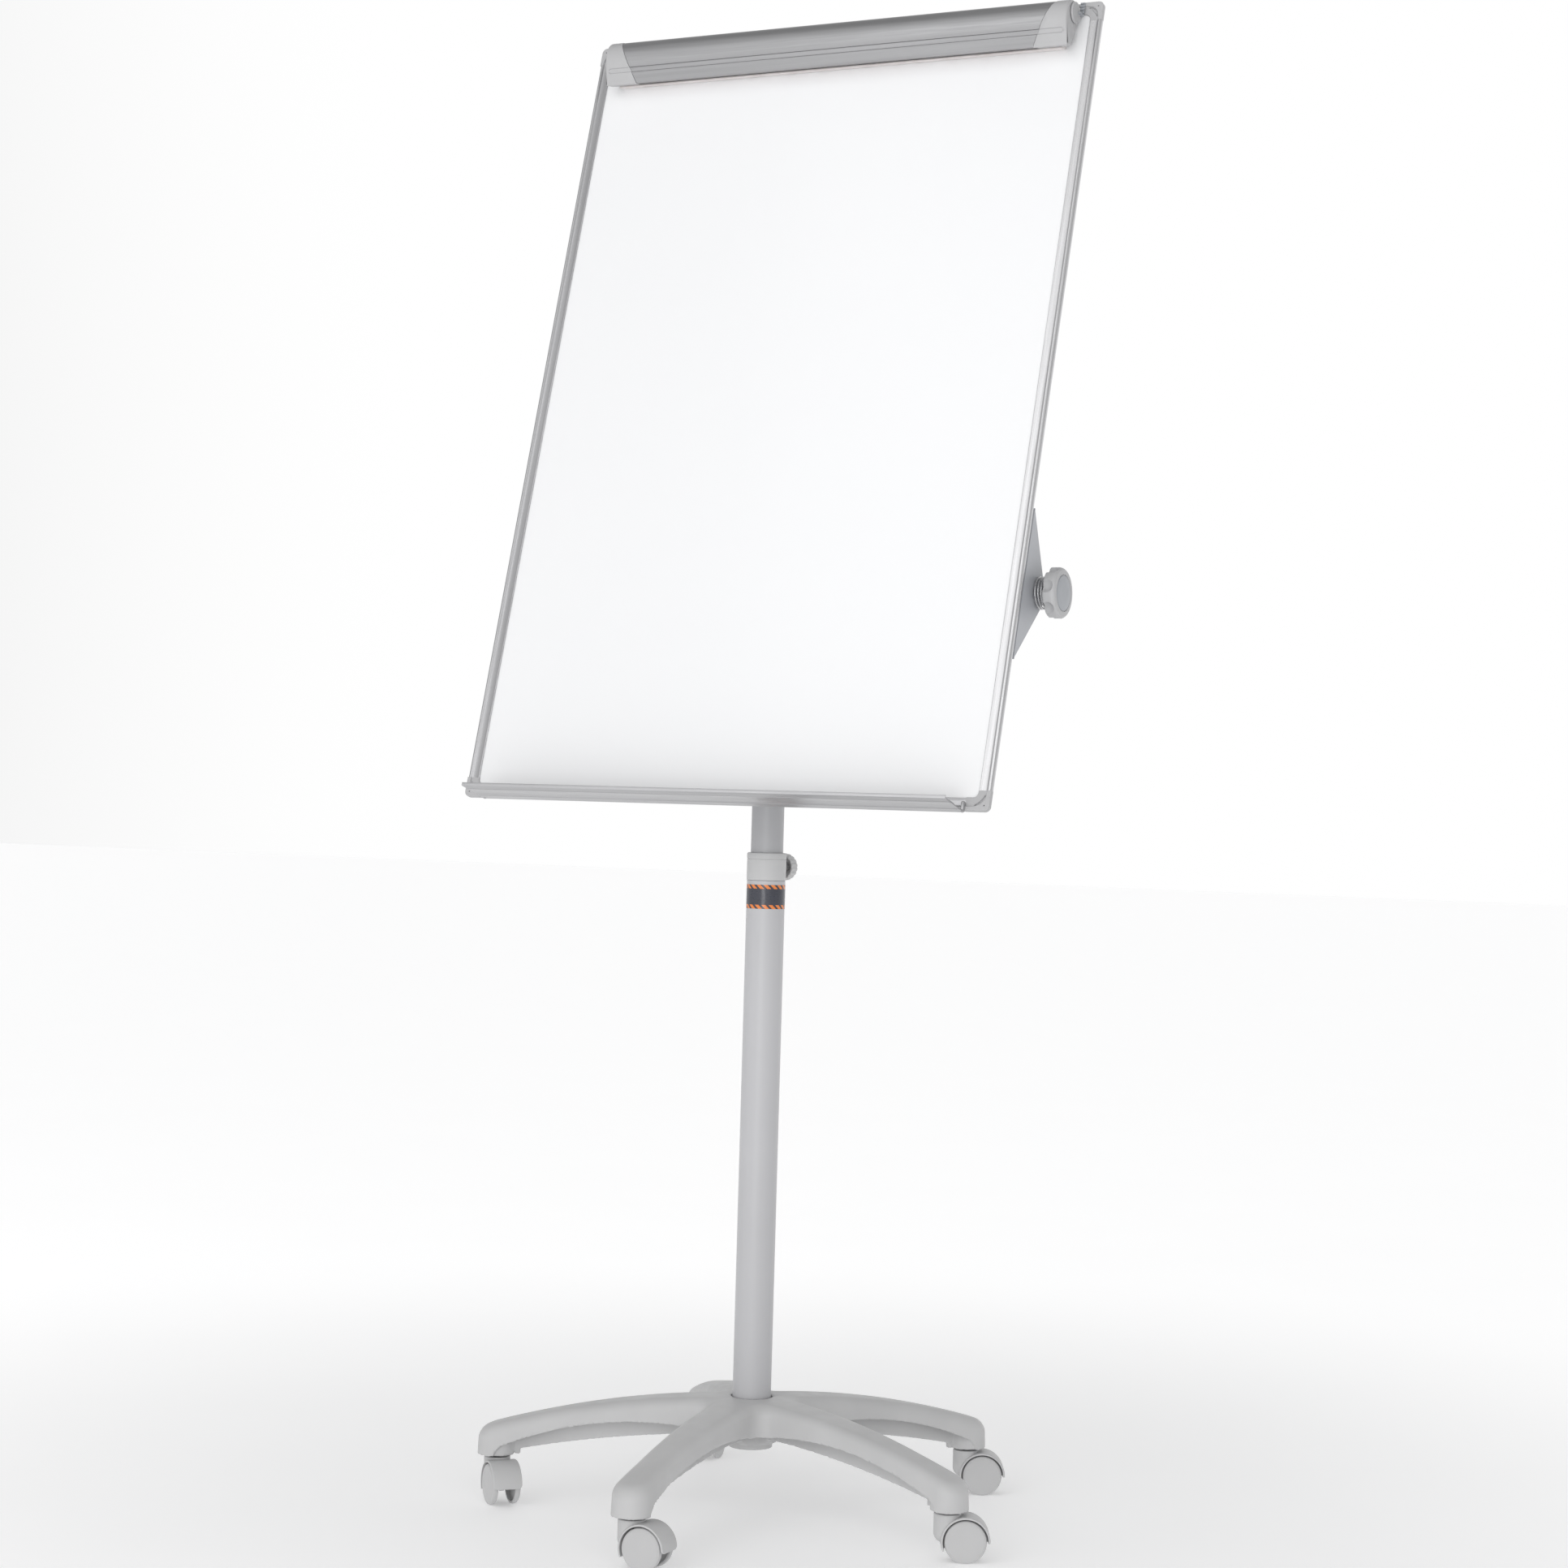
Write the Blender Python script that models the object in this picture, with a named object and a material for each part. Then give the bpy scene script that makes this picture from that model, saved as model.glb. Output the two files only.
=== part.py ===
"""Mobile flipchart easel: a five-armed base on twin-wheel castors, a telescopic column with a
lift spring inside, and a framed board that tilts on a crossbar and carries a pad clamp."""
import math

import bmesh
import bpy
from mathutils import Matrix, Vector

# Driving dimensions, in metres. +Z is up, the board faces -Y, and z = 0 is the floor.
COLUMN = Vector((-0.013, 0.0175, 0.0))   # column axis; the base's footprint isn't symmetric
GAP = 0.0003                            # clearance between pieces that touch

# Base and castors
ARMS = 5
ARM_TURN = 56.7                         # degrees from +X to the first arm
CASTOR_CIRCLE = 0.3113                  # column axis to castor stems
CASTOR_TURNS = (27.0, 103.0, -41.0, 2.0, 27.0)   # the way each castor trails, degrees from +X
BOSS_RADIUS = 0.0225                    # rounded arm end round a castor stem
BASE_BOTTOM = 0.0575
HUB_TOP = 0.1425
HUB_BOTTOM = 0.1
HUB_RADIUS = 0.056
HUB_SLEEVE_BOTTOM = 0.0885
ARM_WALL = 0.003
WHEEL_RADIUS = 0.0245
WHEEL_INNER, WHEEL_OUTER = 0.0032, 0.0185   # faces of a wheel, off the castor's middle
TRAIL = 0.0205                          # castor stem to wheel axle
HOOD_RADIUS = 0.0285
HOOD_TOP = 0.0555
HOOD_HALF_WIDTH = 0.018
POCKET_RADIUS = 0.0255
WEB_HALF = 0.0028
BARREL_RADIUS = 0.016
STEM_RADIUS = 0.005
STEM_BOTTOM, STEM_TOP = 0.0413, 0.0895
AXLE_RADIUS = 0.003
AXLE_HALF = 0.0165

# Column
TUBE_RADIUS, TUBE_BORE = 0.0233, 0.0218
TUBE_BOTTOM, TUBE_TOP = 0.092, 0.768
COLLAR_RADIUS, COLLAR_TOP = 0.0238, 0.8015
SPIGOT_BOTTOM = 0.7
MAST_RADIUS, MAST_BORE = 0.0197, 0.0183
MAST_BOTTOM, MAST_TOP = 0.4523, 1.088
SEAT_RADIUS, SEAT_BOTTOM = 0.0213, 0.44
KNOB_HEIGHT = 0.784                     # height knob's axis
SPRING_RADIUS, SPRING_WIRE, SPRING_TURNS = 0.0165, 0.0013, 11

# Tilt axis and board. Board coordinates: u to the right, v up along the board from its lower
# edge, s behind the front plane.
PIVOT_Z = 1.115
RECLINE = 16.0
PIVOT_V, PIVOT_S = 0.2826, 0.0595
BOARD_WIDTH, BOARD_HEIGHT = 0.7, 1.02
FRAME_FACE, FRAME_DEPTH = 0.014, 0.016
FRAME_WALL = 0.0016
CORNER_LEG, CORNER_RADIUS = 0.0225, 0.007
SHEET_FRONT, SHEET_THICK = 0.0025, 0.0006
CORE_THICK, BACK_THICK = 0.0096, 0.0005
PANEL_INSET = 0.003                     # panel edge inside the frame's outer edge
CROSSBAR_RADIUS = 0.0125
EAR_INNER, EAR_OUTER = 0.3445, 0.3465
EAR_LOW, EAR_HIGH = 0.187, 0.372        # ends of an ear along the board
EAR_NOSE = 0.019                        # radius of an ear round the tilt axis
STUD_RADIUS = 0.005
TILT_KNOB_RADIUS, TILT_KNOB_BACK, TILT_KNOB_FRONT = 0.03, 0.363, 0.379
KNOB_SPRING_RADIUS, KNOB_SPRING_TURNS = 0.0185, 3.5

# Pad clamp, in board coordinates
CLAMP_HALF = 0.32
CLAMP_CAP = 0.03                        # length of an end cap
CLAMP_PIVOT_S, CLAMP_PIVOT_V = -0.016, 0.998
CLAMP_WALL = 0.0018
CLAMP_OUTLINE = (                       # (s, v) from the rear top, over the front, to the lip
    (-0.0024, 1.003), (-0.0052, 1.0085), (-0.01, 1.012), (-0.0165, 1.0132), (-0.0235, 1.0112),
    (-0.0295, 1.0075), (-0.034, 1.002), (-0.0362, 0.9955), (-0.0365, 0.9875), (-0.0351, 0.979),
    (-0.0322, 0.972), (-0.0288, 0.9645), (-0.0225, 0.9525),
)
LIP_REAR = (-0.0105, 0.9575)            # rear edge of the clamp's lower lip
HINGE_DISC_RADIUS = 0.013
HINGE_PIN_RADIUS = 0.004
HOOK_U, HOOK_V = 0.225, 0.975           # pad hooks at rest
TRAY_DEPTH, TRAY_THICK, TRAY_HALF = 0.055, 0.002, 0.32

SEGMENTS = 24


# Scene and materials

def clear_scene():
    for obj in list(bpy.data.objects):
        bpy.data.objects.remove(obj, do_unlink=True)


def material(name, colour, roughness, metallic=0.0):
    mat = bpy.data.materials.new(name)
    mat.use_nodes = True
    shader = mat.node_tree.nodes["Principled BSDF"]
    shader.inputs["Base Color"].default_value = (*colour, 1.0)
    shader.inputs["Roughness"].default_value = roughness
    shader.inputs["Metallic"].default_value = metallic
    mat.diffuse_color = (*colour, 1.0)
    return mat


def pivot(name, location, parent=None, turn_x=0.0, turn_z=0.0):
    """An empty that marks a joint's axis and carries what turns on it."""
    empty = bpy.data.objects.new(name, None)
    bpy.context.collection.objects.link(empty)
    empty.parent = parent
    empty.location = location
    empty.rotation_euler = (math.radians(turn_x), 0.0, math.radians(turn_z))
    return empty


def finish(obj, name, look, parent, location=(0.0, 0.0, 0.0), smooth=40.0):
    """Names a solid, gives it its material and places it under its parent."""
    obj.name = name
    obj.data.name = name
    obj.data.materials.clear()
    obj.data.materials.append(material(name, *look))
    obj.data.shade_smooth()
    obj.data.set_sharp_from_angle(angle=math.radians(smooth))
    obj.parent = parent
    obj.location = location
    return obj


# Solids, built at the origin

def solid(bm):
    bmesh.ops.recalc_face_normals(bm, faces=bm.faces)
    mesh = bpy.data.meshes.new("solid")
    bm.to_mesh(mesh)
    bm.free()
    obj = bpy.data.objects.new("solid", mesh)
    bpy.context.collection.objects.link(obj)
    return obj


def band(bm, low, high):
    """Faces between two rings; a ring of one vertex is a point on the axis."""
    count = max(len(low), len(high))
    for i in range(count):
        j = (i + 1) % count
        if len(low) == 1:
            bm.faces.new((low[0], high[j], high[i]))
        elif len(high) == 1:
            bm.faces.new((low[i], low[j], high[0]))
        else:
            bm.faces.new((low[i], low[j], high[j], high[i]))


def turned(profile, segments=SEGMENTS, ring=False):
    """Solid of revolution about Z from (radius, height) points, or a ring of a closed outline."""
    bm = bmesh.new()
    rings = []
    for radius, height in profile:
        if radius == 0:
            rings.append([bm.verts.new((0.0, 0.0, height))])
            continue
        turns = [2 * math.pi * i / segments for i in range(segments)]
        rings.append([bm.verts.new((radius * math.cos(a), radius * math.sin(a), height)) for a in turns])
    following = rings[1:] + (rings[:1] if ring else [])
    for low, high in zip(rings, following):
        band(bm, low, high)
    return solid(bm)


def loft(sections, closed=False):
    """Solid through sections of equal point counts, capped at both ends unless closed."""
    bm = bmesh.new()
    loops = [[bm.verts.new(point) for point in section] for section in sections]
    following = loops[1:] + (loops[:1] if closed else [])
    for low, high in zip(loops, following):
        band(bm, low, high)
    if not closed:
        bm.faces.new(loops[0])
        bm.faces.new(loops[-1])
    return solid(bm)


def prism(outline, low, high):
    """Extrudes an (x, y) outline from z = low to z = high."""
    return loft([[(x, y, z) for x, y in outline] for z in (low, high)])


def cylinder(radius, low, high, segments=SEGMENTS):
    return turned([(0, low), (radius, low), (radius, high), (0, high)], segments)


def tube(outer, inner, low, high, segments=SEGMENTS):
    return turned([(inner, low), (outer, low), (outer, high), (inner, high)], segments, ring=True)


def box(low, high):
    (x0, y0, z0), (x1, y1, z1) = low, high
    return prism([(x0, y0), (x1, y0), (x1, y1), (x0, y1)], z0, z1)


def moved(obj, offset):
    obj.data.transform(Matrix.Translation(offset))
    return obj


def rotated(obj, axis, degrees):
    obj.data.transform(Matrix.Rotation(math.radians(degrees), 4, axis))
    return obj


def combine(obj, others, operation):
    """Applies exact Booleans and removes the solids they used."""
    for other in others:
        modifier = obj.modifiers.new(operation.lower(), "BOOLEAN")
        modifier.operation = operation
        modifier.solver = "EXACT"
        modifier.object = other
    bpy.context.view_layer.update()
    evaluated = obj.evaluated_get(bpy.context.evaluated_depsgraph_get())
    mesh = bpy.data.meshes.new_from_object(evaluated)
    obj.modifiers.clear()
    obj.data = mesh
    for other in others:
        bpy.data.objects.remove(other, do_unlink=True)
    return obj


def joined(obj, *others):
    return combine(obj, others, "UNION")


def cut(obj, *others):
    return combine(obj, others, "DIFFERENCE")


def arc(centre, radius, start, stop, steps):
    """Points along an arc, from start to stop degrees."""
    angles = [math.radians(start + (stop - start) * i / steps) for i in range(steps + 1)]
    return [(centre[0] + radius * math.cos(a), centre[1] + radius * math.sin(a)) for a in angles]


def along_x(obj):
    """Turns a solid built along Z so that its axis lies along +X."""
    return rotated(obj, "Y", 90)


def along_y(obj):
    """Turns a solid built along Z so that its axis lies along +Y."""
    return rotated(obj, "X", -90)


# Looks: colour, roughness, metallic

GREY_PLASTIC = ((0.42, 0.42, 0.425), 0.5)
WHEEL_GREY = ((0.5, 0.5, 0.505), 0.45)
PAINTED_STEEL = ((0.5, 0.5, 0.51), 0.4)
CORNER_PLASTIC = ((0.55, 0.55, 0.56), 0.5)
ALUMINIUM = ((0.6, 0.6, 0.62), 0.35, 0.8)
BARE_STEEL = ((0.55, 0.55, 0.57), 0.3, 1.0)
EAR_STEEL = ((0.34, 0.35, 0.38), 0.5)
WHITE_LACQUER = ((0.9, 0.9, 0.91), 0.15)
CORE_BROWN = ((0.45, 0.36, 0.27), 0.8)
ZINC = ((0.5, 0.52, 0.54), 0.45, 0.9)
DARK_PLASTIC = ((0.05, 0.05, 0.055), 0.5)
SOFT_GRIP = ((0.75, 0.7, 0.68), 0.7)


# Base

def arm_section(radius):
    """Section of an arm at a distance from the column: a channel with a rib down its middle."""
    half = 0.0225 + 0.0105 * max(0.0, 1 - radius / 0.26)
    top = 0.1435 - 0.475 * radius ** 2
    side = min(0.109 - 1.2 * (radius - 0.125) ** 2, top - 0.012)
    rib = min(0.0955 - 0.38 * radius ** 2, side - 0.002)
    ceiling = max(top - ARM_WALL, side + 0.002)
    shoulder = max(top - 0.012, side + 0.004)
    right = [
        (half, side), (half * 0.97, shoulder), (half * 0.72, top - 0.003), (half * 0.3, top - 0.0003),
    ]
    inner = [(half - ARM_WALL, side), (half * 0.8, ceiling - 0.0045), (ARM_WALL, ceiling), (ARM_WALL, rib)]
    outer_left = [(-y, z) for y, z in reversed(right)]
    inner_left = [(-y, z) for y, z in inner]
    outline = right + outer_left + inner_left + list(reversed(inner))
    return [(radius, y, z) for y, z in outline]


def arm(turn):
    stations = [0.03, 0.07, 0.12, 0.18, 0.24, 0.297]
    return rotated(loft([arm_section(radius) for radius in stations]), "Z", turn)


def arm_boss(turn):
    """Rounded end of an arm, with the blind hole for its castor's stem."""
    top = 0.0975
    profile = [(0, BASE_BOTTOM), (BOSS_RADIUS, BASE_BOTTOM), (BOSS_RADIUS, 0.083), (0.018, 0.0925), (0, top)]
    boss = cut(turned(profile, 20), cylinder(STEM_RADIUS + GAP, 0.04, STEM_TOP + GAP, 12))
    return rotated(moved(boss, (CASTOR_CIRCLE, 0, 0)), "Z", turn)


def star_base():
    hub = turned([(TUBE_RADIUS + GAP, HUB_SLEEVE_BOTTOM), (0.031, HUB_SLEEVE_BOTTOM), (0.033, HUB_BOTTOM),
                  (HUB_RADIUS, HUB_BOTTOM), (HUB_RADIUS, 0.126), (0.051, 0.136), (0.034, HUB_TOP - 0.0005),
                  (TUBE_RADIUS + GAP, HUB_TOP)], 30, ring=True)
    turns = [ARM_TURN + 360 * i / ARMS for i in range(ARMS)]
    parts = [arm(turn) for turn in turns] + [arm_boss(turn) for turn in turns]
    bore = cylinder(TUBE_RADIUS + GAP, 0.05, 0.2, 30)
    base = cut(joined(hub, *parts), bore)
    finish(base, "star_base", GREY_PLASTIC, None, COLUMN, smooth=35)


def hub_plug():
    """Cup pressed into the hub from below; it closes the column and seats the lift spring."""
    outer = TUBE_BORE - GAP
    profile = [(0, 0.096), (0.018, 0.096), (0.018, 0.082), (0.0265, 0.082), (0.0265, 0.0882),
               (outer, 0.0882), (outer, 0.107), (0, 0.107)]
    finish(turned(profile), "hub_plug", GREY_PLASTIC, None, COLUMN)


# Castors, in a frame with the stem's axis at the origin and the trail along +X

def castor_hood():
    start, stop = -3, 203
    axle = (TRAIL, WHEEL_RADIUS)
    sector = [axle] + arc(axle, HOOD_RADIUS, start, stop, 15)
    hood = along_y(prism([(x, -z) for x, z in sector], -HOOD_HALF_WIDTH, HOOD_HALF_WIDTH))
    barrel = turned([(0, 0.0205), (0.009, 0.022), (0.0145, 0.027), (BARREL_RADIUS, 0.034),
                     (BARREL_RADIUS, HOOD_TOP), (0, HOOD_TOP)], 18)
    boss_half = WEB_HALF - 0.0002
    boss = moved(along_y(cylinder(0.0065, -boss_half, boss_half, 12)), (TRAIL, 0, WHEEL_RADIUS))
    joined(hood, barrel, boss)
    pockets = [moved(along_y(cylinder(POCKET_RADIUS, *span, 24)), (TRAIL, 0, WHEEL_RADIUS))
               for span in ((-0.03, -WEB_HALF), (WEB_HALF, 0.03))]
    bore = cylinder(STEM_RADIUS + GAP, STEM_BOTTOM - GAP, 0.07, 12)
    axle_bore = moved(along_y(cylinder(AXLE_RADIUS + GAP, -0.03, 0.03, 10)), (TRAIL, 0, WHEEL_RADIUS))
    return cut(hood, *pockets, bore, axle_bore)


def castor_stem():
    flange_low, flange_high = HOOD_TOP + GAP, BASE_BOTTOM - GAP
    return turned([(0, STEM_BOTTOM), (STEM_RADIUS, STEM_BOTTOM), (STEM_RADIUS, flange_low),
                   (0.0105, flange_low), (0.0105, flange_high), (STEM_RADIUS, flange_high),
                   (STEM_RADIUS, STEM_TOP), (0, STEM_TOP)], 12)


def castor_wheel(side):
    """One wheel about its axle at the origin; side is +1 or -1 along Y."""
    bore = AXLE_RADIUS + GAP
    profile = [(0, WHEEL_OUTER), (0.0205, WHEEL_OUTER - 0.0003), (0.0235, WHEEL_OUTER - 0.0012),
               (WHEEL_RADIUS, WHEEL_OUTER - 0.0034), (WHEEL_RADIUS, WHEEL_INNER + 0.0018),
               (0.0236, WHEEL_INNER), (bore, WHEEL_INNER), (bore, AXLE_HALF + GAP),
               (0, AXLE_HALF + GAP)]
    wheel = turned(profile, 20)
    return rotated(wheel, "X", -90 * side)


def copy_of(source):
    twin = bpy.data.objects.new("solid", source.data.copy())
    bpy.context.collection.objects.link(twin)
    return twin


def castors():
    hood, stem = castor_hood(), castor_stem()
    axle = along_y(cylinder(AXLE_RADIUS, -AXLE_HALF, AXLE_HALF, 10))
    wheels = {"a": castor_wheel(1), "b": castor_wheel(-1)}
    for i in range(ARMS):
        number = str(i + 1)
        turn = math.radians(ARM_TURN + 360 * i / ARMS)
        place = COLUMN + Vector((math.cos(turn), math.sin(turn), 0.0)) * CASTOR_CIRCLE
        swivel = pivot("castor_swivel_axis_" + number, place, turn_z=CASTOR_TURNS[i])
        roll = pivot("castor_roll_axis_" + number, (TRAIL, 0, WHEEL_RADIUS), swivel)
        finish(copy_of(stem), "castor_stem_" + number, BARE_STEEL, swivel)
        finish(copy_of(hood), "castor_hood_" + number, GREY_PLASTIC, swivel)
        finish(copy_of(axle), "castor_axle_" + number, BARE_STEEL, roll)
        for letter, wheel in wheels.items():
            finish(copy_of(wheel), "castor_wheel_" + number + letter, WHEEL_GREY, roll)
    for source in (hood, stem, axle, *wheels.values()):
        bpy.data.objects.remove(source, do_unlink=True)


# Column

def outer_tube():
    finish(tube(TUBE_RADIUS, TUBE_BORE, TUBE_BOTTOM, TUBE_TOP, 30), "outer_tube", PAINTED_STEEL,
           None, COLUMN)


def collar():
    """Plastic end bush of the outer tube, with a cross hole for the height knob's stud."""
    bore = MAST_RADIUS + GAP
    profile = [(bore, SPIGOT_BOTTOM), (TUBE_BORE - GAP, SPIGOT_BOTTOM), (TUBE_BORE - GAP, TUBE_TOP + GAP),
               (COLLAR_RADIUS, TUBE_TOP + GAP), (COLLAR_RADIUS, COLLAR_TOP - 0.001),
               (COLLAR_RADIUS - 0.001, COLLAR_TOP), (bore, COLLAR_TOP)]
    hole = moved(along_y(cylinder(0.0043, 0.0, 0.04, 12)), (0, 0, KNOB_HEIGHT))
    finish(cut(turned(profile, 30, ring=True), hole), "collar", GREY_PLASTIC, None, COLUMN)


def height_knob():
    """Hollow knob behind the collar; its stud bears on the inner tube."""
    tip = MAST_RADIUS + GAP
    profile = [(0, tip), (0.004, tip), (0.004, 0.033), (0.0065, 0.033), (0.0065, 0.0495), (0.0122, 0.0495),
               (0.0122, 0.037), (0.0146, 0.037), (0.0148, 0.05), (0.0125, 0.0532), (0.006, 0.054),
               (0, 0.0541)]
    axis = pivot("height_knob_axis", COLUMN + Vector((0, 0, KNOB_HEIGHT)))
    finish(along_y(turned(profile, 20)), "height_knob", GREY_PLASTIC, axis)


def lift_spring():
    """Compression spring between the hub plug and the inner tube's seat."""
    low, high = 0.1085, SEAT_BOTTOM - 0.0015
    per_turn = 10
    steps = SPRING_TURNS * per_turn
    sections = []
    for i in range(steps + 1):
        angle = 2 * math.pi * i / per_turn
        outward = Vector((math.cos(angle), math.sin(angle), 0.0))
        centre = outward * SPRING_RADIUS + Vector((0, 0, low + (high - low) * i / steps))
        ring = [2 * math.pi * k / 4 for k in range(4)]
        sections.append([centre + (outward * math.cos(b) + Vector((0, 0, math.sin(b)))) * SPRING_WIRE
                         for b in ring])
    finish(loft(sections), "lift_spring", BARE_STEEL, None, COLUMN)


def spring_seat():
    top = MAST_BOTTOM - GAP
    profile = [(0, SEAT_BOTTOM), (0.0195, SEAT_BOTTOM), (SEAT_RADIUS, SEAT_BOTTOM + 0.0015),
               (SEAT_RADIUS, top), (MAST_BORE - GAP, top), (MAST_BORE - GAP, 0.478), (0.0165, 0.481),
               (0, 0.481)]
    finish(turned(profile), "spring_seat", DARK_PLASTIC, None, COLUMN)


def inner_tube():
    finish(tube(MAST_RADIUS, MAST_BORE, MAST_BOTTOM, MAST_TOP, 30), "inner_tube", PAINTED_STEEL,
           None, COLUMN)


def tilt_head():
    """Tee on top of the inner tube: a socket below, and a barrel that holds the crossbar."""
    socket = cylinder(0.0225, 1.045, PIVOT_Z)
    barrel = moved(along_x(cylinder(0.0185, -0.05, 0.05)), (0, 0, PIVOT_Z))
    bar_bore = moved(along_x(cylinder(CROSSBAR_RADIUS + GAP, -0.1, 0.1)), (0, 0, PIVOT_Z))
    tube_bore = cylinder(MAST_RADIUS + GAP, 1.0, MAST_TOP + GAP)
    finish(cut(joined(socket, barrel), tube_bore, bar_bore), "tilt_head", GREY_PLASTIC, None, COLUMN)


def crossbar(axis):
    """Tube between the ears, with thick ends that take the knob's stud and the bolt."""
    end, neck = EAR_INNER - GAP, 0.31
    inner, hole = 0.0105, STUD_RADIUS + GAP
    profile = [(hole, -end), (CROSSBAR_RADIUS, -end), (CROSSBAR_RADIUS, end), (hole, end), (hole, neck),
               (inner, neck), (inner, -neck), (hole, -neck)]
    finish(along_x(turned(profile, ring=True)), "crossbar", PAINTED_STEEL, axis)


def crossbar_bolt(axis):
    head = EAR_OUTER + GAP
    profile = [(0, 0.32), (STUD_RADIUS, 0.32), (STUD_RADIUS, head), (0.011, head),
               (0.011, head + 0.0015), (0.009, head + 0.0045), (0.005, head + 0.006), (0, head + 0.006)]
    finish(rotated(turned(profile, 24), "Y", -90), "crossbar_bolt", BARE_STEEL, axis)


def lobed(radius, x, lobes=7, depth=0.0034):
    """Outline of the tilt knob: a circle with a hollow between each pair of lobes."""
    points = []
    steps = lobes * 6
    for i in range(steps):
        angle = 2 * math.pi * i / steps
        hollow = max(0.0, math.cos(lobes * angle) + 0.15) / 1.15
        reach = radius - depth * hollow
        points.append((x, reach * math.cos(angle), reach * math.sin(angle)))
    return points


def tilt_knob(axis):
    back, front = TILT_KNOB_BACK, TILT_KNOB_FRONT
    grip = loft([
        lobed(TILT_KNOB_RADIUS - 0.003, back), lobed(TILT_KNOB_RADIUS - 0.0005, back + 0.0025),
        lobed(TILT_KNOB_RADIUS, back + 0.006), lobed(TILT_KNOB_RADIUS, back + 0.0095, depth=0.0028),
        lobed(TILT_KNOB_RADIUS - 0.0025, front - 0.003, depth=0.0008),
        lobed(TILT_KNOB_RADIUS - 0.008, front, depth=0.0),
    ])
    stud = along_x(cylinder(STUD_RADIUS, 0.318, back + 0.006, 16))
    finish(joined(grip, stud), "tilt_knob", GREY_PLASTIC, axis)


def knob_spring(axis):
    """Short steel spring that keeps the ear pressed on the crossbar when the knob is loosened."""
    low, high = EAR_OUTER + GAP + 0.001, TILT_KNOB_BACK - GAP - 0.001
    per_turn, wire = 16, 0.001
    steps = int(per_turn * KNOB_SPRING_TURNS)
    sections = []
    for i in range(steps + 1):
        angle = 2 * math.pi * i / per_turn
        outward = Vector((0.0, math.cos(angle), math.sin(angle)))
        centre = outward * KNOB_SPRING_RADIUS + Vector((low + (high - low) * i / steps, 0, 0))
        ring = [2 * math.pi * k / 5 for k in range(5)]
        sections.append([centre + (outward * math.cos(b) + Vector((math.sin(b), 0, 0))) * wire
                         for b in ring])
    finish(loft(sections), "knob_spring", BARE_STEEL, axis)


# Board. Its solids are built in board coordinates (u, s, v) and hung on the tilt axis.

def on_board(obj, name, look, axis, smooth=40.0):
    return finish(obj, name, look, axis, (0.0, -PIVOT_S, -PIVOT_V), smooth)


def board_sheets(axis):
    half, low, high = BOARD_WIDTH / 2 - PANEL_INSET, PANEL_INSET, BOARD_HEIGHT - PANEL_INSET
    front = SHEET_FRONT
    layers = (("writing_sheet", SHEET_THICK, WHITE_LACQUER), ("board_core", CORE_THICK, CORE_BROWN),
              ("back_sheet", BACK_THICK, ZINC))
    for name, thick, look in layers:
        on_board(box((-half, front, low), (half, front + thick, high)), name, look, axis)
        front += thick + GAP


def rail_section():
    """Frame rail as (inward, s) points from the outer edge: a channel round the panel's edge."""
    face, depth, wall = FRAME_FACE, FRAME_DEPTH, FRAME_WALL
    step = 0.0035                       # bevelled outer border of the front face
    return [(0, 0.0014), (0.001, 0.0004), (step, 0), (face, 0), (face, wall), (wall, wall),
            (wall, depth - wall), (face * 0.8, depth - wall), (face * 0.8, depth), (0.0008, depth),
            (0, depth - 0.0008)]


def frame_rails(axis):
    half, height = BOARD_WIDTH / 2, BOARD_HEIGHT
    leg = CORNER_LEG + GAP
    section = rail_section()
    spans = {"left": (leg, height - leg), "right": (leg, height - leg),
             "bottom": (leg - half, half - leg), "top": (leg - half, half - leg)}
    for side, ends in spans.items():
        if side == "left":
            points = [[(-half + a, s, end) for a, s in section] for end in ends]
        elif side == "right":
            points = [[(half - a, s, end) for a, s in section] for end in ends]
        elif side == "bottom":
            points = [[(end, s, a) for a, s in section] for end in ends]
        else:
            points = [[(end, s, height - a) for a, s in section] for end in ends]
        on_board(loft(points), "frame_rail_" + side, ALUMINIUM, axis)


def corner_outline():
    """Corner piece seen from the front, as (inward u, inward v): round outside, hollow inside."""
    leg, face, radius = CORNER_LEG, FRAME_FACE + 0.0008, CORNER_RADIUS
    fillet = leg - face
    outer = arc((radius, radius), radius, 270, 180, 5)
    inner = arc((leg, leg), fillet, 180, 270, 4)
    return [(leg, 0)] + outer + [(0, leg)] + inner


def frame_corner(side_u, side_v):
    body = rotated(prism(corner_outline(), -FRAME_DEPTH - 0.0002, 0.0008), "X", 90)
    inset = PANEL_INSET - GAP
    front, back = SHEET_FRONT - GAP, FRAME_DEPTH - FRAME_WALL - 0.0002
    pocket = box((inset, front, inset), (0.06, back, 0.06))
    cut(body, pocket)
    scale = Matrix.Diagonal((side_u, 1.0, side_v, 1.0))
    body.data.transform(scale)
    if side_u * side_v < 0:
        body.data.flip_normals()
    return moved(body, (-side_u * BOARD_WIDTH / 2, 0, 0 if side_v > 0 else BOARD_HEIGHT))


def frame_corners(axis):
    for vertical, side_v in (("bottom", 1), ("top", -1)):
        for side, side_u in (("left", 1), ("right", -1)):
            name = "frame_corner_" + vertical + "_" + side
            on_board(frame_corner(side_u, side_v), name, CORNER_PLASTIC, axis)


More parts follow.
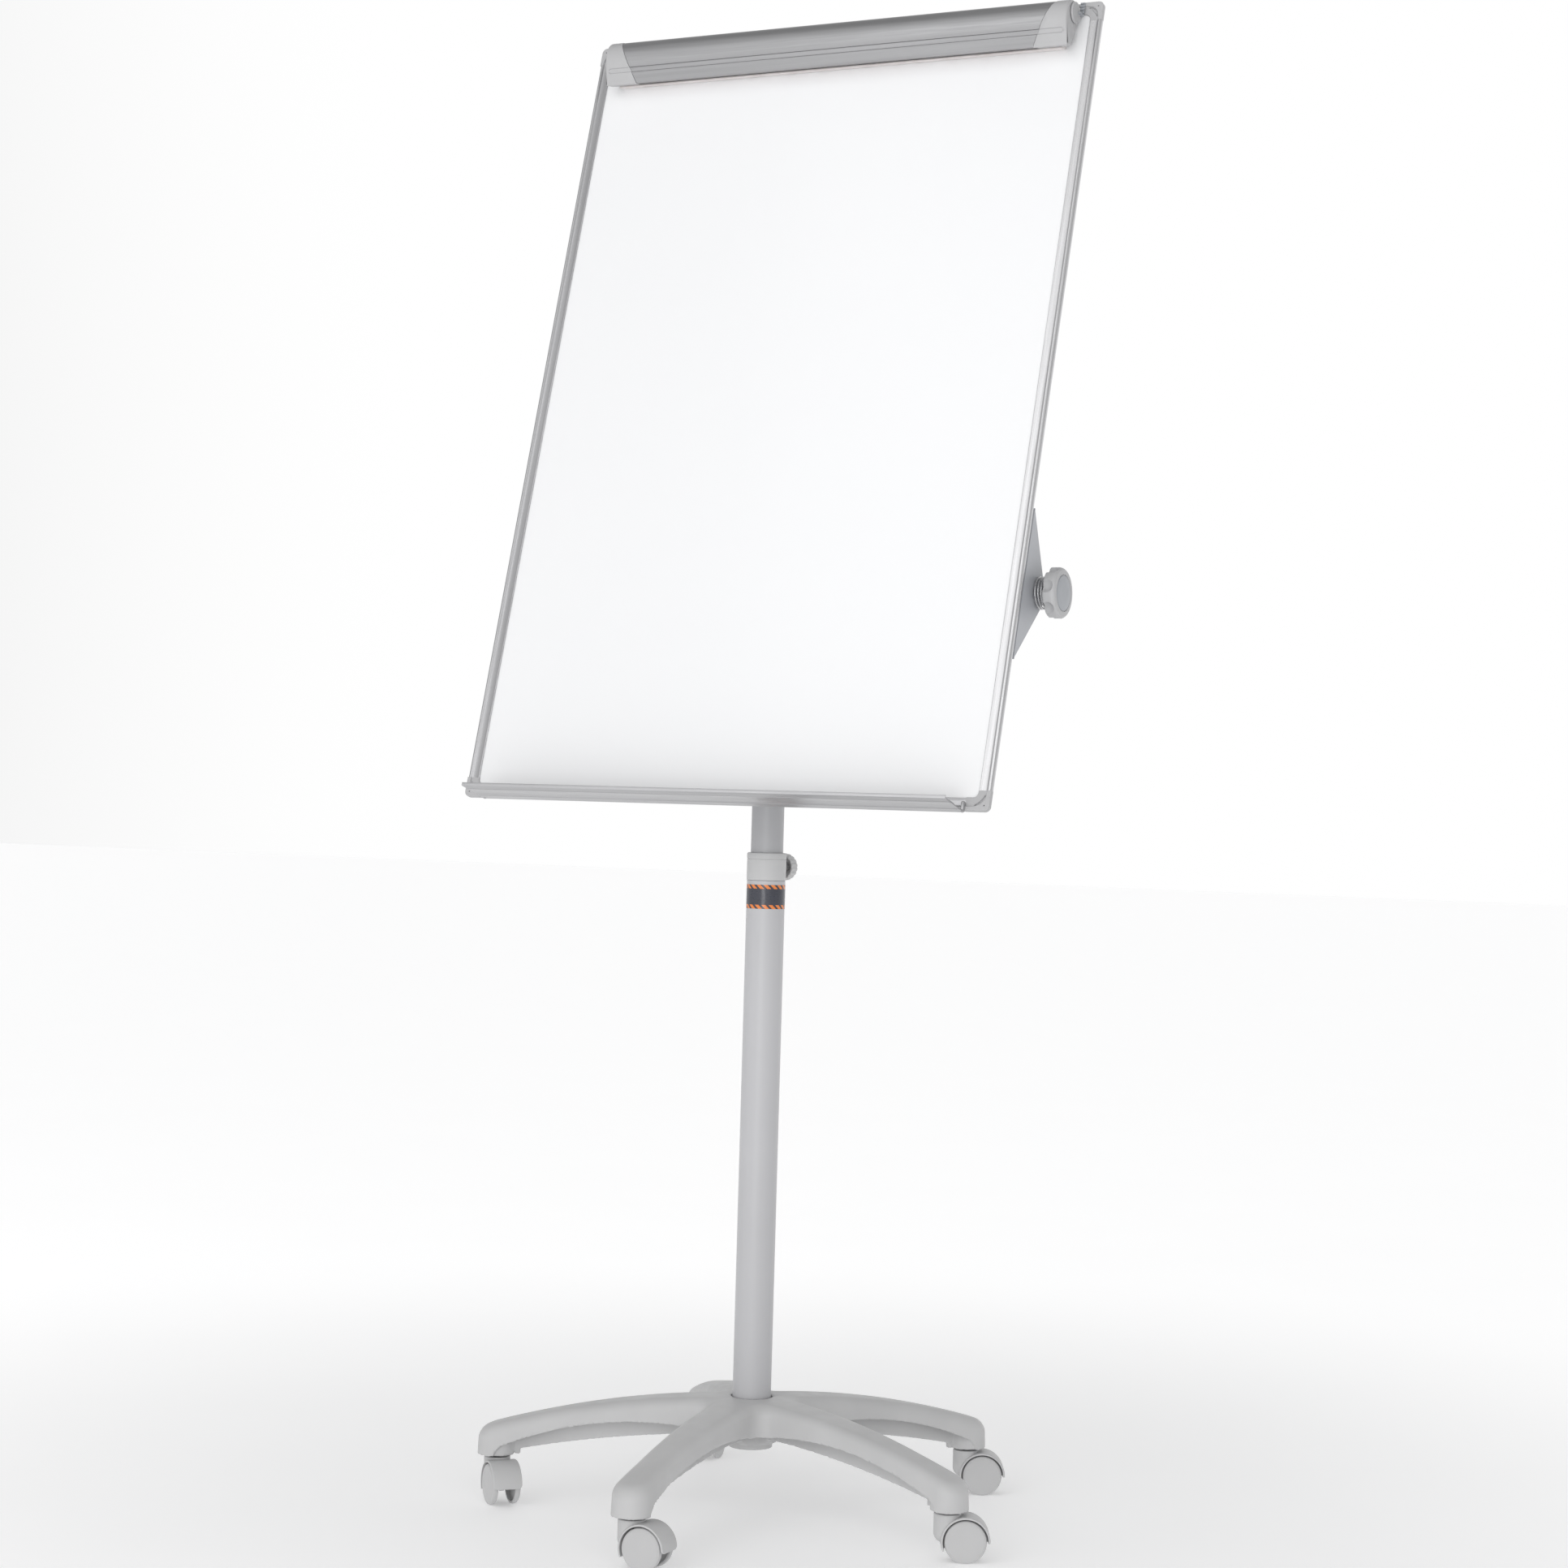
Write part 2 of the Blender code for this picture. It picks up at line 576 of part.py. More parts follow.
def tilt_ear(side):
    """Steel ear behind a side rail: a triangle round the tilt axis and a flange on the rail."""
    back = FRAME_DEPTH + GAP
    high, low = (EAR_HIGH, back), (EAR_LOW, back)
    nose = arc((PIVOT_V, PIVOT_S), EAR_NOSE, 52, 132, 6)
    outline = [low, high] + nose        # (v, s) points
    plate = loft([[(side * u, s, v) for v, s in outline] for u in (EAR_INNER, EAR_OUTER)])
    flange = box((min(side * 0.332, side * EAR_OUTER), back, EAR_LOW),
                 (max(side * 0.332, side * EAR_OUTER), back + 0.002, EAR_HIGH))
    hole = moved(along_x(cylinder(STUD_RADIUS + GAP, 0.3, 0.4, 16)), (0, PIVOT_S, PIVOT_V))
    if side < 0:
        rotated(hole, "Z", 180)
        moved(hole, (0, 2 * PIVOT_S, 0))
    return cut(joined(plate, flange), hole)


def pen_tray(axis):
    """Shelf square to the board, with a raised front lip and a clip at each end of its rear edge."""
    rear, top = -GAP, -GAP
    section = [(rear, top), (rear, top - TRAY_THICK), (-TRAY_DEPTH, top - TRAY_THICK),
               (-TRAY_DEPTH, top + 0.0022), (-TRAY_DEPTH + 0.0014, top + 0.0022), (-TRAY_DEPTH + 0.0014, top)]
    shelf = loft([[(u, s, v) for s, v in section] for u in (-TRAY_HALF, TRAY_HALF)])
    clips = [moved(cylinder(0.0023, top - TRAY_THICK, 0.01, 12), (side * 0.3185, -0.0027, 0))
             for side in (-1, 1)]
    on_board(joined(shelf, *clips), "pen_tray", ALUMINIUM, axis)


# Pad clamp. It turns on an axis through both end caps.

def clamp_section():
    """Closed outline of the clamp bar's wall, as (s, v)."""
    inner = []
    outline = [Vector(point) for point in CLAMP_OUTLINE] + [Vector(LIP_REAR)]
    for i, point in enumerate(outline):
        before, after = outline[max(i - 1, 0)], outline[min(i + 1, len(outline) - 1)]
        along = (after - before).normalized()
        normal = Vector((-along.y, along.x))
        inner.append(point + normal * CLAMP_WALL)
    inner[-2] = Vector((LIP_REAR[0] - 0.0095, LIP_REAR[1] - 0.0015))
    return [tuple(p) for p in outline] + [tuple(p) for p in reversed(inner)]


def clamp_solid(section, start, stop):
    return loft([[(u, s, v) for s, v in section] for u in (start, stop)])


def cap_outline():
    return list(CLAMP_OUTLINE) + [LIP_REAR, (-0.0075, 0.9645), (-0.0048, 0.978), (-0.0028, 0.99)]


def clamp_cap(side):
    """Plastic end of the clamp bar, bored for the hinge pin."""
    start, stop = sorted((side * (CLAMP_HALF - CLAMP_CAP), side * CLAMP_HALF))
    body = clamp_solid(cap_outline(), start, stop)
    middle = Vector((-0.019, 0.984))
    shrunk = [middle + (Vector(p) - middle) * 0.84 for p in cap_outline()]
    room = sorted((side * (CLAMP_HALF - CLAMP_CAP - 0.01), side * (CLAMP_HALF - 0.006)))
    hollow = clamp_solid([tuple(p) for p in shrunk], *room)
    bore = moved(along_x(cylinder(HINGE_PIN_RADIUS + GAP, -0.4, 0.4, 16)),
                 (0, CLAMP_PIVOT_S, CLAMP_PIVOT_V))
    return cut(body, hollow, bore)


def in_clamp(obj, name, look, axis):
    """Hangs a solid built in board coordinates on the clamp's hinge axis."""
    return finish(obj, name, look, axis, (0.0, -CLAMP_PIVOT_S, -CLAMP_PIVOT_V))


def clamp_bar(axis):
    end = CLAMP_HALF - CLAMP_CAP - GAP
    in_clamp(clamp_solid(clamp_section(), -end, end), "clamp_bar", ALUMINIUM, axis)


def clamp_grip(axis):
    """Soft strip behind the clamp's lip that presses the pad on the board."""
    end = CLAMP_HALF - 0.012
    rear, front = SHEET_FRONT - GAP, LIP_REAR[0] + GAP
    section = [(front, 0.9535), (rear, 0.9515), (rear, 0.9565), (front, 0.957)]
    in_clamp(clamp_solid(section, -end, end), "clamp_grip", SOFT_GRIP, axis)


def clamp_bracket(side):
    """Foot on the top rail, and the round plate and pin that the clamp's end cap turns on."""
    near, far = CLAMP_HALF + GAP, CLAMP_HALF + 0.0028
    centre = (CLAMP_PIVOT_S, CLAMP_PIVOT_V)
    outline = arc(centre, HINGE_DISC_RADIUS, 40, 330, 20) + [(-GAP, 0.9935), (-GAP, 1.0065)]
    plate = loft([[(side * u, s, v) for s, v in outline] for u in (near, far)])
    foot = box((min(side * near, side * 0.327), -0.0035, 0.9935),
               (max(side * near, side * 0.327), -GAP, 1.019))
    pin = along_x(cylinder(HINGE_PIN_RADIUS, *sorted((side * 0.3145, side * (near + 0.001))), 16))
    moved(pin, (0, CLAMP_PIVOT_S, CLAMP_PIVOT_V))
    return joined(plate, foot, pin)


def pad_hook(side):
    """Slider under the top rail with a peg for the pad's punched holes."""
    plate = box((side * HOOK_U - 0.009, 0.0002, HOOK_V - 0.008),
                (side * HOOK_U + 0.009, SHEET_FRONT - GAP, BOARD_HEIGHT - FRAME_FACE - GAP))
    peg = moved(along_y(cylinder(0.003, -0.017, 0.001, 16)), (side * HOOK_U, 0, HOOK_V))
    return joined(plate, peg)


def board(axis):
    board_sheets(axis)
    frame_rails(axis)
    frame_corners(axis)
    pen_tray(axis)
    for name, side in (("left", -1), ("right", 1)):
        on_board(tilt_ear(side), "tilt_ear_" + name, EAR_STEEL, axis)
        on_board(clamp_bracket(side), "clamp_bracket_" + name, CORNER_PLASTIC, axis)
        on_board(pad_hook(side), "pad_hook_" + name, DARK_PLASTIC, axis)
    hinge = pivot("clamp_axis", (0, CLAMP_PIVOT_S - PIVOT_S, CLAMP_PIVOT_V - PIVOT_V), axis)
    clamp_bar(hinge)
    clamp_grip(hinge)
    for name, side in (("left", -1), ("right", 1)):
        in_clamp(clamp_cap(side), "clamp_cap_" + name, CORNER_PLASTIC, hinge)


def main():
    clear_scene()
    star_base()
    hub_plug()
    castors()
    outer_tube()
    collar()
    height_knob()
    lift_spring()
    spring_seat()
    inner_tube()
    tilt_head()
    bar_axis = pivot("crossbar_axis", COLUMN + Vector((0, 0, PIVOT_Z)))
    crossbar(bar_axis)
    crossbar_bolt(bar_axis)
    tilt_knob(bar_axis)
    knob_spring(bar_axis)
    board(pivot("tilt_axis", COLUMN + Vector((0, 0, PIVOT_Z)), turn_x=-RECLINE))


main()
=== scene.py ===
"""Looks of a mobile flipchart easel: moulded star base on castors, telescopic column, tilting
whiteboard with a pad clamp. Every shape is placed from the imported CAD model, in metres."""
import math

import bmesh
import bpy
import numpy as np
from mathutils import Matrix, Vector


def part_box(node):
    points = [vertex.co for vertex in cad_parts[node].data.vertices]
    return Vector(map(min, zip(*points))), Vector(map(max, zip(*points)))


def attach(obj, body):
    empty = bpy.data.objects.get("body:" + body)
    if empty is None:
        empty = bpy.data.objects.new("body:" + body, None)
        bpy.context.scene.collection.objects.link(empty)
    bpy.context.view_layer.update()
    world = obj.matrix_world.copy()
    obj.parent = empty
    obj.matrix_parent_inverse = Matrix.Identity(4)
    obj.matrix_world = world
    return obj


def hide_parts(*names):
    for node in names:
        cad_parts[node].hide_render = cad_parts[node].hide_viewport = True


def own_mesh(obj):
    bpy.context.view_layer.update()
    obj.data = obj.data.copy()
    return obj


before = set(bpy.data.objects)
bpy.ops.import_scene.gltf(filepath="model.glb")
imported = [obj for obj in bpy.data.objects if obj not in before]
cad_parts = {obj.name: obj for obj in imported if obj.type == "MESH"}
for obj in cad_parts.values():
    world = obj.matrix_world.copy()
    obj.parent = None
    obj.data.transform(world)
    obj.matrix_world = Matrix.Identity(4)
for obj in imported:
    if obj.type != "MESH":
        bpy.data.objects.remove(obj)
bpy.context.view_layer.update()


def middle(node):
    low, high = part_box(node)
    return (low + high) / 2


def low_of(node):
    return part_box(node)[0]


def high_of(node):
    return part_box(node)[1]


# Places taken from the CAD model
COLUMN = Vector((middle("outer_tube").x, middle("outer_tube").y, 0.0))
TILT_AXIS = middle("crossbar")
HEIGHT_KNOB = middle("height_knob")
RECLINE = math.radians(16.0)            # how far the board leans back
PIVOT_V, PIVOT_S = 0.2826, 0.0595       # tilt axis: up the board, and behind its front plane
CLAMP_PIVOT_S, CLAMP_PIVOT_V = -0.016, 0.998
BOARD_WIDTH, BOARD_HEIGHT = 0.7, 1.02
SHEET_FRONT, SHEET_THICK, CORE_THICK = 0.0025, 0.0006, 0.0096
GAP = 0.0003
SIDES = (("left", -1), ("right", 1))

# Board coordinates: u to the right, s behind the front plane, v up the board
BOARD = (Matrix.Translation(TILT_AXIS) @ Matrix.Rotation(-RECLINE, 4, "X")
         @ Matrix.Translation((0.0, -PIVOT_S, -PIVOT_V)))
ON_COLUMN = Matrix.Translation(COLUMN)
ON_TILT_AXIS = Matrix.Translation(TILT_AXIS)

ARMS = 5
ARM_TURN = math.radians(56.7)
SECTOR = 2 * math.pi / ARMS
CASTOR_CIRCLE = 0.3113


# Materials

class Nodes:
    """A material's node tree, with short ways to add nodes and link them."""

    def __init__(self, name):
        self.material = bpy.data.materials.new(name)
        self.material.use_nodes = True
        self.tree = self.material.node_tree
        self.shader = self.tree.nodes["Principled BSDF"]
        self.coords = self.tree.nodes.new("ShaderNodeTexCoord").outputs["Object"]

    def add(self, kind, values=None, **settings):
        node = self.tree.nodes.new("ShaderNode" + kind)
        for key, value in settings.items():
            setattr(node, key, value)
        for key, value in (values or {}).items():
            if isinstance(value, bpy.types.NodeSocket):
                self.tree.links.new(value, node.inputs[key])
            else:
                node.inputs[key].default_value = value
        return node

    def set(self, socket, value):
        if isinstance(value, bpy.types.NodeSocket):
            self.tree.links.new(value, self.shader.inputs[socket])
        else:
            self.shader.inputs[socket].default_value = value

    def mapped(self, scale):
        return self.add("Mapping", {"Vector": self.coords, "Scale": scale}).outputs["Vector"]

    def noise(self, scale, detail=3.0, vector=None, roughness=0.5):
        values = {"Vector": vector or self.coords, "Scale": scale, "Detail": detail, "Roughness": roughness}
        return self.add("TexNoise", values).outputs["Fac"]

    def between(self, factor, low, high, start=0.35, stop=0.65):
        values = {"Value": factor, "From Min": start, "From Max": stop, "To Min": low, "To Max": high}
        return self.add("MapRange", values).outputs["Result"]

    def mix(self, factor, first, second):
        node = self.add("Mix", data_type="RGBA")
        for index, value in ((0, factor), (6, first), (7, second)):
            if isinstance(value, bpy.types.NodeSocket):
                self.tree.links.new(value, node.inputs[index])
            else:
                node.inputs[index].default_value = value
        return node.outputs[2]

    def math(self, operation, first, second=0.0):
        return self.add("Math", {0: first, 1: second}, operation=operation).outputs[0]

    def bump(self, height, distance, strength=1.0, normal=None):
        values = {"Height": height, "Distance": distance, "Strength": strength}
        if normal:
            values["Normal"] = normal
        return self.add("Bump", values).outputs["Normal"]


def shade(colour, factor):
    return (*(min(1.0, channel * factor) for channel in colour), 1.0)


def moulded(name, colour, roughness, mottle=0.03, grain=1400.0, depth=0.00004):
    """Satin moulded plastic: fine erosion grain, faint flow mottling, uneven gloss."""
    nodes = Nodes(name)
    broad = nodes.noise(14.0, 4.0)
    nodes.set("Base Color", nodes.mix(nodes.between(broad, 0.0, 1.0), shade(colour, 1 - mottle),
                                      shade(colour, 1 + mottle)))
    fine = nodes.noise(grain, 2.0)
    nodes.set("Roughness", nodes.between(nodes.noise(70.0, 3.0), roughness - 0.05, roughness + 0.05))
    nodes.set("Normal", nodes.bump(fine, depth))
    nodes.set("Specular IOR Level", 0.45)
    return nodes.material


def powder_coat(name, colour, roughness):
    """Powder-coated steel: orange peel under a soft gloss."""
    nodes = Nodes(name)
    broad = nodes.noise(8.0, 3.0)
    nodes.set("Base Color", nodes.mix(nodes.between(broad, 0.0, 1.0), shade(colour, 0.98),
                                      shade(colour, 1.02)))
    peel = nodes.noise(420.0, 2.0)
    speckle = nodes.noise(2600.0, 1.0)
    nodes.set("Roughness", nodes.between(speckle, roughness - 0.06, roughness + 0.06))
    nodes.set("Normal", nodes.bump(speckle, 0.00001, normal=nodes.bump(peel, 0.00006)))
    nodes.set("Coat Weight", 0.15)
    nodes.set("Coat Roughness", 0.3)
    return nodes.material


def drawn_metal(name, colour, roughness, along="X", metallic=0.85, streak=0.06):
    """Extruded or drawn metal with fine lines along one axis."""
    nodes = Nodes(name)
    stretch = {"X": (0.012, 1.0, 1.0), "Y": (1.0, 0.012, 1.0), "Z": (1.0, 1.0, 0.012)}[along]
    vector = nodes.mapped(stretch)
    lines = nodes.noise(1600.0, 4.0, vector)
    bands = nodes.noise(220.0, 2.0, vector)
    nodes.set("Base Color", nodes.mix(nodes.between(bands, 0.0, 1.0), shade(colour, 1 - streak),
                                      shade(colour, 1 + streak)))
    nodes.set("Metallic", metallic)
    nodes.set("Roughness", nodes.between(lines, roughness - 0.07, roughness + 0.09))
    nodes.set("Normal", nodes.bump(lines, 0.00003))
    return nodes.material


def lacquered_sheet(name):
    """White lacquer on steel: glossy, with faint wiping marks in the gloss."""
    nodes = Nodes(name)
    wiped = nodes.noise(5.0, 5.0, nodes.mapped((1.0, 1.0, 2.5)))
    nodes.set("Base Color", nodes.mix(nodes.between(wiped, 0.0, 1.0), (0.876, 0.88, 0.89, 1.0),
                                      (0.88, 0.884, 0.893, 1.0)))
    nodes.set("Roughness", nodes.between(wiped, 0.25, 0.265))
    nodes.set("Normal", nodes.bump(nodes.noise(160.0, 2.0), 0.000012))
    nodes.set("Coat Weight", 0.3)
    nodes.set("Coat Roughness", 0.12)
    return nodes.material


def spangled_zinc(name):
    """Galvanised sheet: crystal spangle in tone and gloss."""
    nodes = Nodes(name)
    crystals = nodes.add("TexVoronoi", {"Vector": nodes.coords, "Scale": 90.0}).outputs["Color"]
    tone = nodes.add("SeparateColor", {"Color": crystals}).outputs[0]
    nodes.set("Base Color", nodes.mix(tone, (0.5, 0.52, 0.54, 1.0), (0.64, 0.66, 0.68, 1.0)))
    nodes.set("Metallic", 0.8)
    nodes.set("Roughness", nodes.between(tone, 0.36, 0.55, 0.0, 1.0))
    nodes.set("Normal", nodes.bump(nodes.noise(700.0, 3.0), 0.00002))
    return nodes.material


def fibreboard(name):
    nodes = Nodes(name)
    fibres = nodes.noise(500.0, 6.0, nodes.mapped((0.3, 2.0, 0.3)))
    nodes.set("Base Color", nodes.mix(nodes.between(fibres, 0.0, 1.0), (0.24, 0.17, 0.11, 1.0),
                                      (0.42, 0.32, 0.22, 1.0)))
    nodes.set("Roughness", 0.85)
    nodes.set("Normal", nodes.bump(fibres, 0.0002))
    return nodes.material


def soft_strip(name):
    """Foam rubber strip: open fine cells, slightly warm off-white."""
    nodes = Nodes(name)
    cells = nodes.add("TexVoronoi", {"Vector": nodes.coords, "Scale": 1500.0}).outputs["Distance"]
    tint = nodes.noise(60.0, 3.0)
    nodes.set("Base Color", nodes.mix(nodes.between(tint, 0.0, 1.0), (0.66, 0.61, 0.6, 1.0),
                                      (0.76, 0.72, 0.71, 1.0)))
    nodes.set("Roughness", 0.8)
    nodes.set("Normal", nodes.bump(cells, 0.00015))
    nodes.set("Sheen Weight", 0.2)
    return nodes.material


BAND_LOW, BAND_HIGH = 0.734, 0.763
BAND_BORDER = 0.0048


def printed_band(name):
    """Printed film round the column: dark field between two borders of slanted stripes."""
    nodes = Nodes(name)
    split = nodes.add("SeparateXYZ", {"Vector": nodes.coords})
    x, y, z = (split.outputs[axis] for axis in "XYZ")
    around = nodes.math("MULTIPLY", nodes.math("ARCTAN2", y, x), 0.0235)
    slanted = nodes.math("ADD", around, z)
    stripe = nodes.math("FRACT", nodes.math("MULTIPLY", slanted, 115.0))
    orange = nodes.math("GREATER_THAN", stripe, 0.42)
    from_middle = nodes.math("ABSOLUTE", nodes.math("SUBTRACT", z, (BAND_LOW + BAND_HIGH) / 2))
    in_border = nodes.math("GREATER_THAN", from_middle, (BAND_HIGH - BAND_LOW) / 2 - BAND_BORDER)
    ink = nodes.mix(nodes.between(nodes.noise(900.0), 0.0, 1.0), (0.028, 0.03, 0.045, 1.0),
                    (0.04, 0.043, 0.06, 1.0))
    field = nodes.mix(nodes.math("MULTIPLY", orange, in_border), ink, (0.8, 0.22, 0.04, 1.0))
    nodes.set("Base Color", field)
    nodes.set("Roughness", nodes.between(nodes.noise(300.0), 0.25, 0.4))
    nodes.set("Normal", nodes.bump(nodes.noise(250.0), 0.00002))
    nodes.set("Coat Weight", 0.4)
    nodes.set("Coat Roughness", 0.15)
    return nodes.material


# The right rail is lighter than the left, the inner tube darker than the outer, and the clamp bar darker than
# the tray and rails: painted light and painted shade, which stand in for uneven studio light.
LOOKS = {
    "grey_plastic": moulded("grey_plastic", (0.545, 0.545, 0.548), 0.46),
    "wheel_plastic": moulded("wheel_plastic", (0.53, 0.53, 0.533), 0.42, grain=2200.0),
    "painted_steel": powder_coat("painted_steel", (0.5, 0.5, 0.515), 0.38),
    "corner_plastic": moulded("corner_plastic", (0.46, 0.46, 0.467), 0.45, mottle=0.02, grain=2500.0,
                              depth=0.00002),
    "aluminium": drawn_metal("aluminium", (0.49, 0.49, 0.5), 0.34, "X"),
    "aluminium_upright": drawn_metal("aluminium_upright", (0.46, 0.46, 0.47), 0.34, "Z"),
    "aluminium_right": drawn_metal("aluminium_right", (0.62, 0.62, 0.63), 0.3, "Z"),
    # painted shade: a darker copy of the column paint, for the shadow that falls on the inner tube
    "shaded_inner_paint": powder_coat("shaded_inner_paint", (0.42, 0.42, 0.432), 0.38),
    "bare_steel": drawn_metal("bare_steel", (0.56, 0.56, 0.57), 0.27, "Z", metallic=1.0, streak=0.04),
    "ear_steel": powder_coat("ear_steel", (0.43, 0.442, 0.47), 0.42),
    "knob_plastic": moulded("knob_plastic", (0.45, 0.452, 0.46), 0.42),
    "knob_inlay": moulded("knob_inlay", (0.36, 0.375, 0.4), 0.36, grain=2600.0),
    # painted shade: a darker copy of the aluminium for the clamp bar, which dims its reflections
    "aluminium_clamp_shaded": drawn_metal("aluminium_clamp_shaded", (0.37, 0.37, 0.378), 0.4, "X"),
    "white_lacquer": lacquered_sheet("white_lacquer"),
    "board_core": fibreboard("board_core"),
    "zinc_sheet": spangled_zinc("zinc_sheet"),
    "dark_plastic": moulded("dark_plastic", (0.06, 0.06, 0.063), 0.5),
    "soft_grip": soft_strip("soft_grip"),
    "printed_band": printed_band("printed_band"),
}


# Finished pieces

def piece(name, mesh, look, body, nodes=(), place=Matrix.Identity(4), smooth=38.0, bevel=0.0):
    """Names a finished piece, gives it its look and makes it ride on its CAD body."""
    mesh.name = name
    obj = bpy.data.objects.new(name, mesh)
    bpy.context.scene.collection.objects.link(obj)
    obj.matrix_world = place
    mesh.materials.clear()
    mesh.materials.append(LOOKS[look])
    mesh.shade_smooth()
    mesh.set_sharp_from_angle(angle=math.radians(smooth))
    if bevel:
        modifier = obj.modifiers.new("edges", "BEVEL")
        modifier.width = bevel
        modifier.segments = 2
        modifier.limit_method = "ANGLE"
        modifier.angle_limit = math.radians(30.0)
        modifier.harden_normals = True
    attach(obj, body)
    if nodes:
        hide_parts(*nodes)
    return obj


def keep(node, look):
    """A CAD node whose shape is right keeps its mesh and gets a procedural material."""
    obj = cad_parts[node]
    for holder in obj.material_slots:
        holder.link = "OBJECT"
        holder.material = LOOKS[look]


# Meshes, built at their own origin

def mesh_of(bm):
    bmesh.ops.recalc_face_normals(bm, faces=bm.faces)
    mesh = bpy.data.meshes.new("mesh")
    bm.to_mesh(mesh)
    bm.free()
    return mesh


def band(bm, low, high):
    """Faces between two rings; a ring of one vertex is a point on the axis."""
    count = max(len(low), len(high))
    for i in range(count):
        j = (i + 1) % count
        if len(low) == 1:
            bm.faces.new((low[0], high[j], high[i]))
        elif len(high) == 1:
            bm.faces.new((low[i], low[j], high[0]))
        else:
            bm.faces.new((low[i], low[j], high[j], high[i]))


def loft(sections, ring=False):
    """Through sections of equal point counts, capped at both ends unless they form a ring."""
    bm = bmesh.new()
    loops = [[bm.verts.new(point) for point in section] for section in sections]
    following = loops[1:] + (loops[:1] if ring else [])
    for low, high in zip(loops, following):
        band(bm, low, high)
    if not ring:
        for end in (loops[0], loops[-1]):
            if len(end) > 2:
                bm.faces.new(end)
    return mesh_of(bm)


def turned(profile, segments=64, ring=False, shape=None):
    """Solid of revolution about Z from (radius, height) points. shape(angle, radius, height) may
    return a new radius, for lobes and flutes."""
    sections = []
    for radius, height in profile:
        if radius == 0:
            sections.append([(0.0, 0.0, height)])
            continue
        section = []
        for i in range(segments):
            angle = 2 * math.pi * i / segments
            reach = shape(angle, radius, height) if shape else radius
            section.append((reach * math.cos(angle), reach * math.sin(angle), height))
        sections.append(section)
    return loft(sections, ring)


def cylinder(radius, low, high, segments):
    """Plain cylinder about Z, for bores and bosses."""
    return turned([(0, low), (radius, low), (radius, high), (0, high)], segments)


def arc(centre, radius, start, stop, steps):
    """Points along an arc, from start to stop degrees."""
    angles = [math.radians(start + (stop - start) * i / steps) for i in range(steps + 1)]
    return [(centre[0] + radius * math.cos(a), centre[1] + radius * math.sin(a)) for a in angles]


def rounded(points, radius, steps=3, ring=True):
    """Outline whose corners are eased over about the radius; radius may be one for each point."""
    result = []
    count = len(points)
    for i, point in enumerate(points):
        reach = radius[i] if isinstance(radius, (list, tuple)) else radius
        corner = Vector(point)
        if reach == 0 or (not ring and i in (0, count - 1)):
            result.append(tuple(corner))
            continue
        before, after = Vector(points[i - 1]) - corner, Vector(points[(i + 1) % count]) - corner
        start = corner + before.normalized() * min(reach, before.length * 0.45)
        stop = corner + after.normalized() * min(reach, after.length * 0.45)
        for k in range(steps + 1):
            t = k / steps
            result.append(tuple(start * (1 - t) ** 2 + corner * (2 * t * (1 - t)) + stop * t ** 2))
    return result


def prism(outline, low, high):
    """Extrudes an (x, y) outline from z = low to z = high."""
    return loft([[(x, y, z) for x, y in outline] for z in (low, high)])


def wire(points, radius, sides=10):
    """Round wire along a path."""
    sections = []
    for i, point in enumerate(points):
        along = (points[min(i + 1, len(points) - 1)] - points[max(i - 1, 0)]).normalized()
        across = along.orthogonal() if i == 0 else (across - along * across.dot(along))
        across.normalize()
        other = along.cross(across)
        ring = [2 * math.pi * k / sides for k in range(sides)]
        sections.append([point + (across * math.cos(a) + other * math.sin(a)) * radius for a in ring])
    return loft(sections)


def changed(mesh, *steps):
    for step in steps:
        mesh.transform(step)
    return mesh


def turn(axis, degrees):
    return Matrix.Rotation(math.radians(degrees), 4, axis)


def shift(x, y, z):
    return Matrix.Translation((x, y, z))


ALONG_X = turn("Y", 90)
ALONG_Y = turn("X", -90)


def combined(mesh, others, operation):
    """Exact Boolean of meshes."""
    scene = bpy.context.scene.collection
    host = bpy.data.objects.new("host", mesh)
    scene.objects.link(host)
    tools = []
    for other in others:
        tool = bpy.data.objects.new("tool", other)
        scene.objects.link(tool)
        tools.append(tool)
        modifier = host.modifiers.new(operation, "BOOLEAN")
        modifier.operation = operation
        modifier.solver = "EXACT"
        modifier.object = tool
    bpy.context.view_layer.update()
    result = bpy.data.meshes.new_from_object(host.evaluated_get(bpy.context.evaluated_depsgraph_get()))
    for obj in [host] + tools:
        bpy.data.objects.remove(obj, do_unlink=True)
    return result


def united(mesh, *others):
    return combined(mesh, others, "UNION")


def cut(mesh, *others):
    return combined(mesh, others, "DIFFERENCE")


# Moulded shapes are levels of a distance field, so that their edges blend as in a mould.

def smooth_min(a, b, reach):
    share = np.clip(0.5 + 0.5 * (b - a) / reach, 0.0, 1.0)
    return b + (a - b) * share - reach * share * (1 - share)


def round_corner(p, q, radius):
    """Distance to a corner of two surfaces, rounded; both are negative inside."""
    outside = np.hypot(np.maximum(p + radius, 0.0), np.maximum(q + radius, 0.0))
    return np.minimum(np.maximum(p + radius, q + radius), 0.0) + outside - radius


CELL_CORNERS = [(i, j, k) for i in (0, 1) for j in (0, 1) for k in (0, 1)]
CELL_EDGES = [(a, b) for a in range(8) for b in range(a + 1, 8)
              if sum(abs(p - q) for p, q in zip(CELL_CORNERS[a], CELL_CORNERS[b])) == 1]


def net_points(values, cells):
    """Mean of the edge crossings in each cell, in cell units."""
    corner_values = np.stack([values[tuple((cells + c).T)] for c in CELL_CORNERS], axis=1)
    corners = np.array(CELL_CORNERS, float)
    total, count = np.zeros((len(cells), 3)), np.zeros(len(cells))
    for a, b in CELL_EDGES:
        first, second = corner_values[:, a], corner_values[:, b]
        crossing = (first < 0) != (second < 0)
        share = np.where(crossing, first / np.where(crossing, first - second, 1.0), 0.0)
        total += crossing[:, None] * (corners[a] + share[:, None] * (corners[b] - corners[a]))
        count += crossing
    return cells + total / count[:, None]


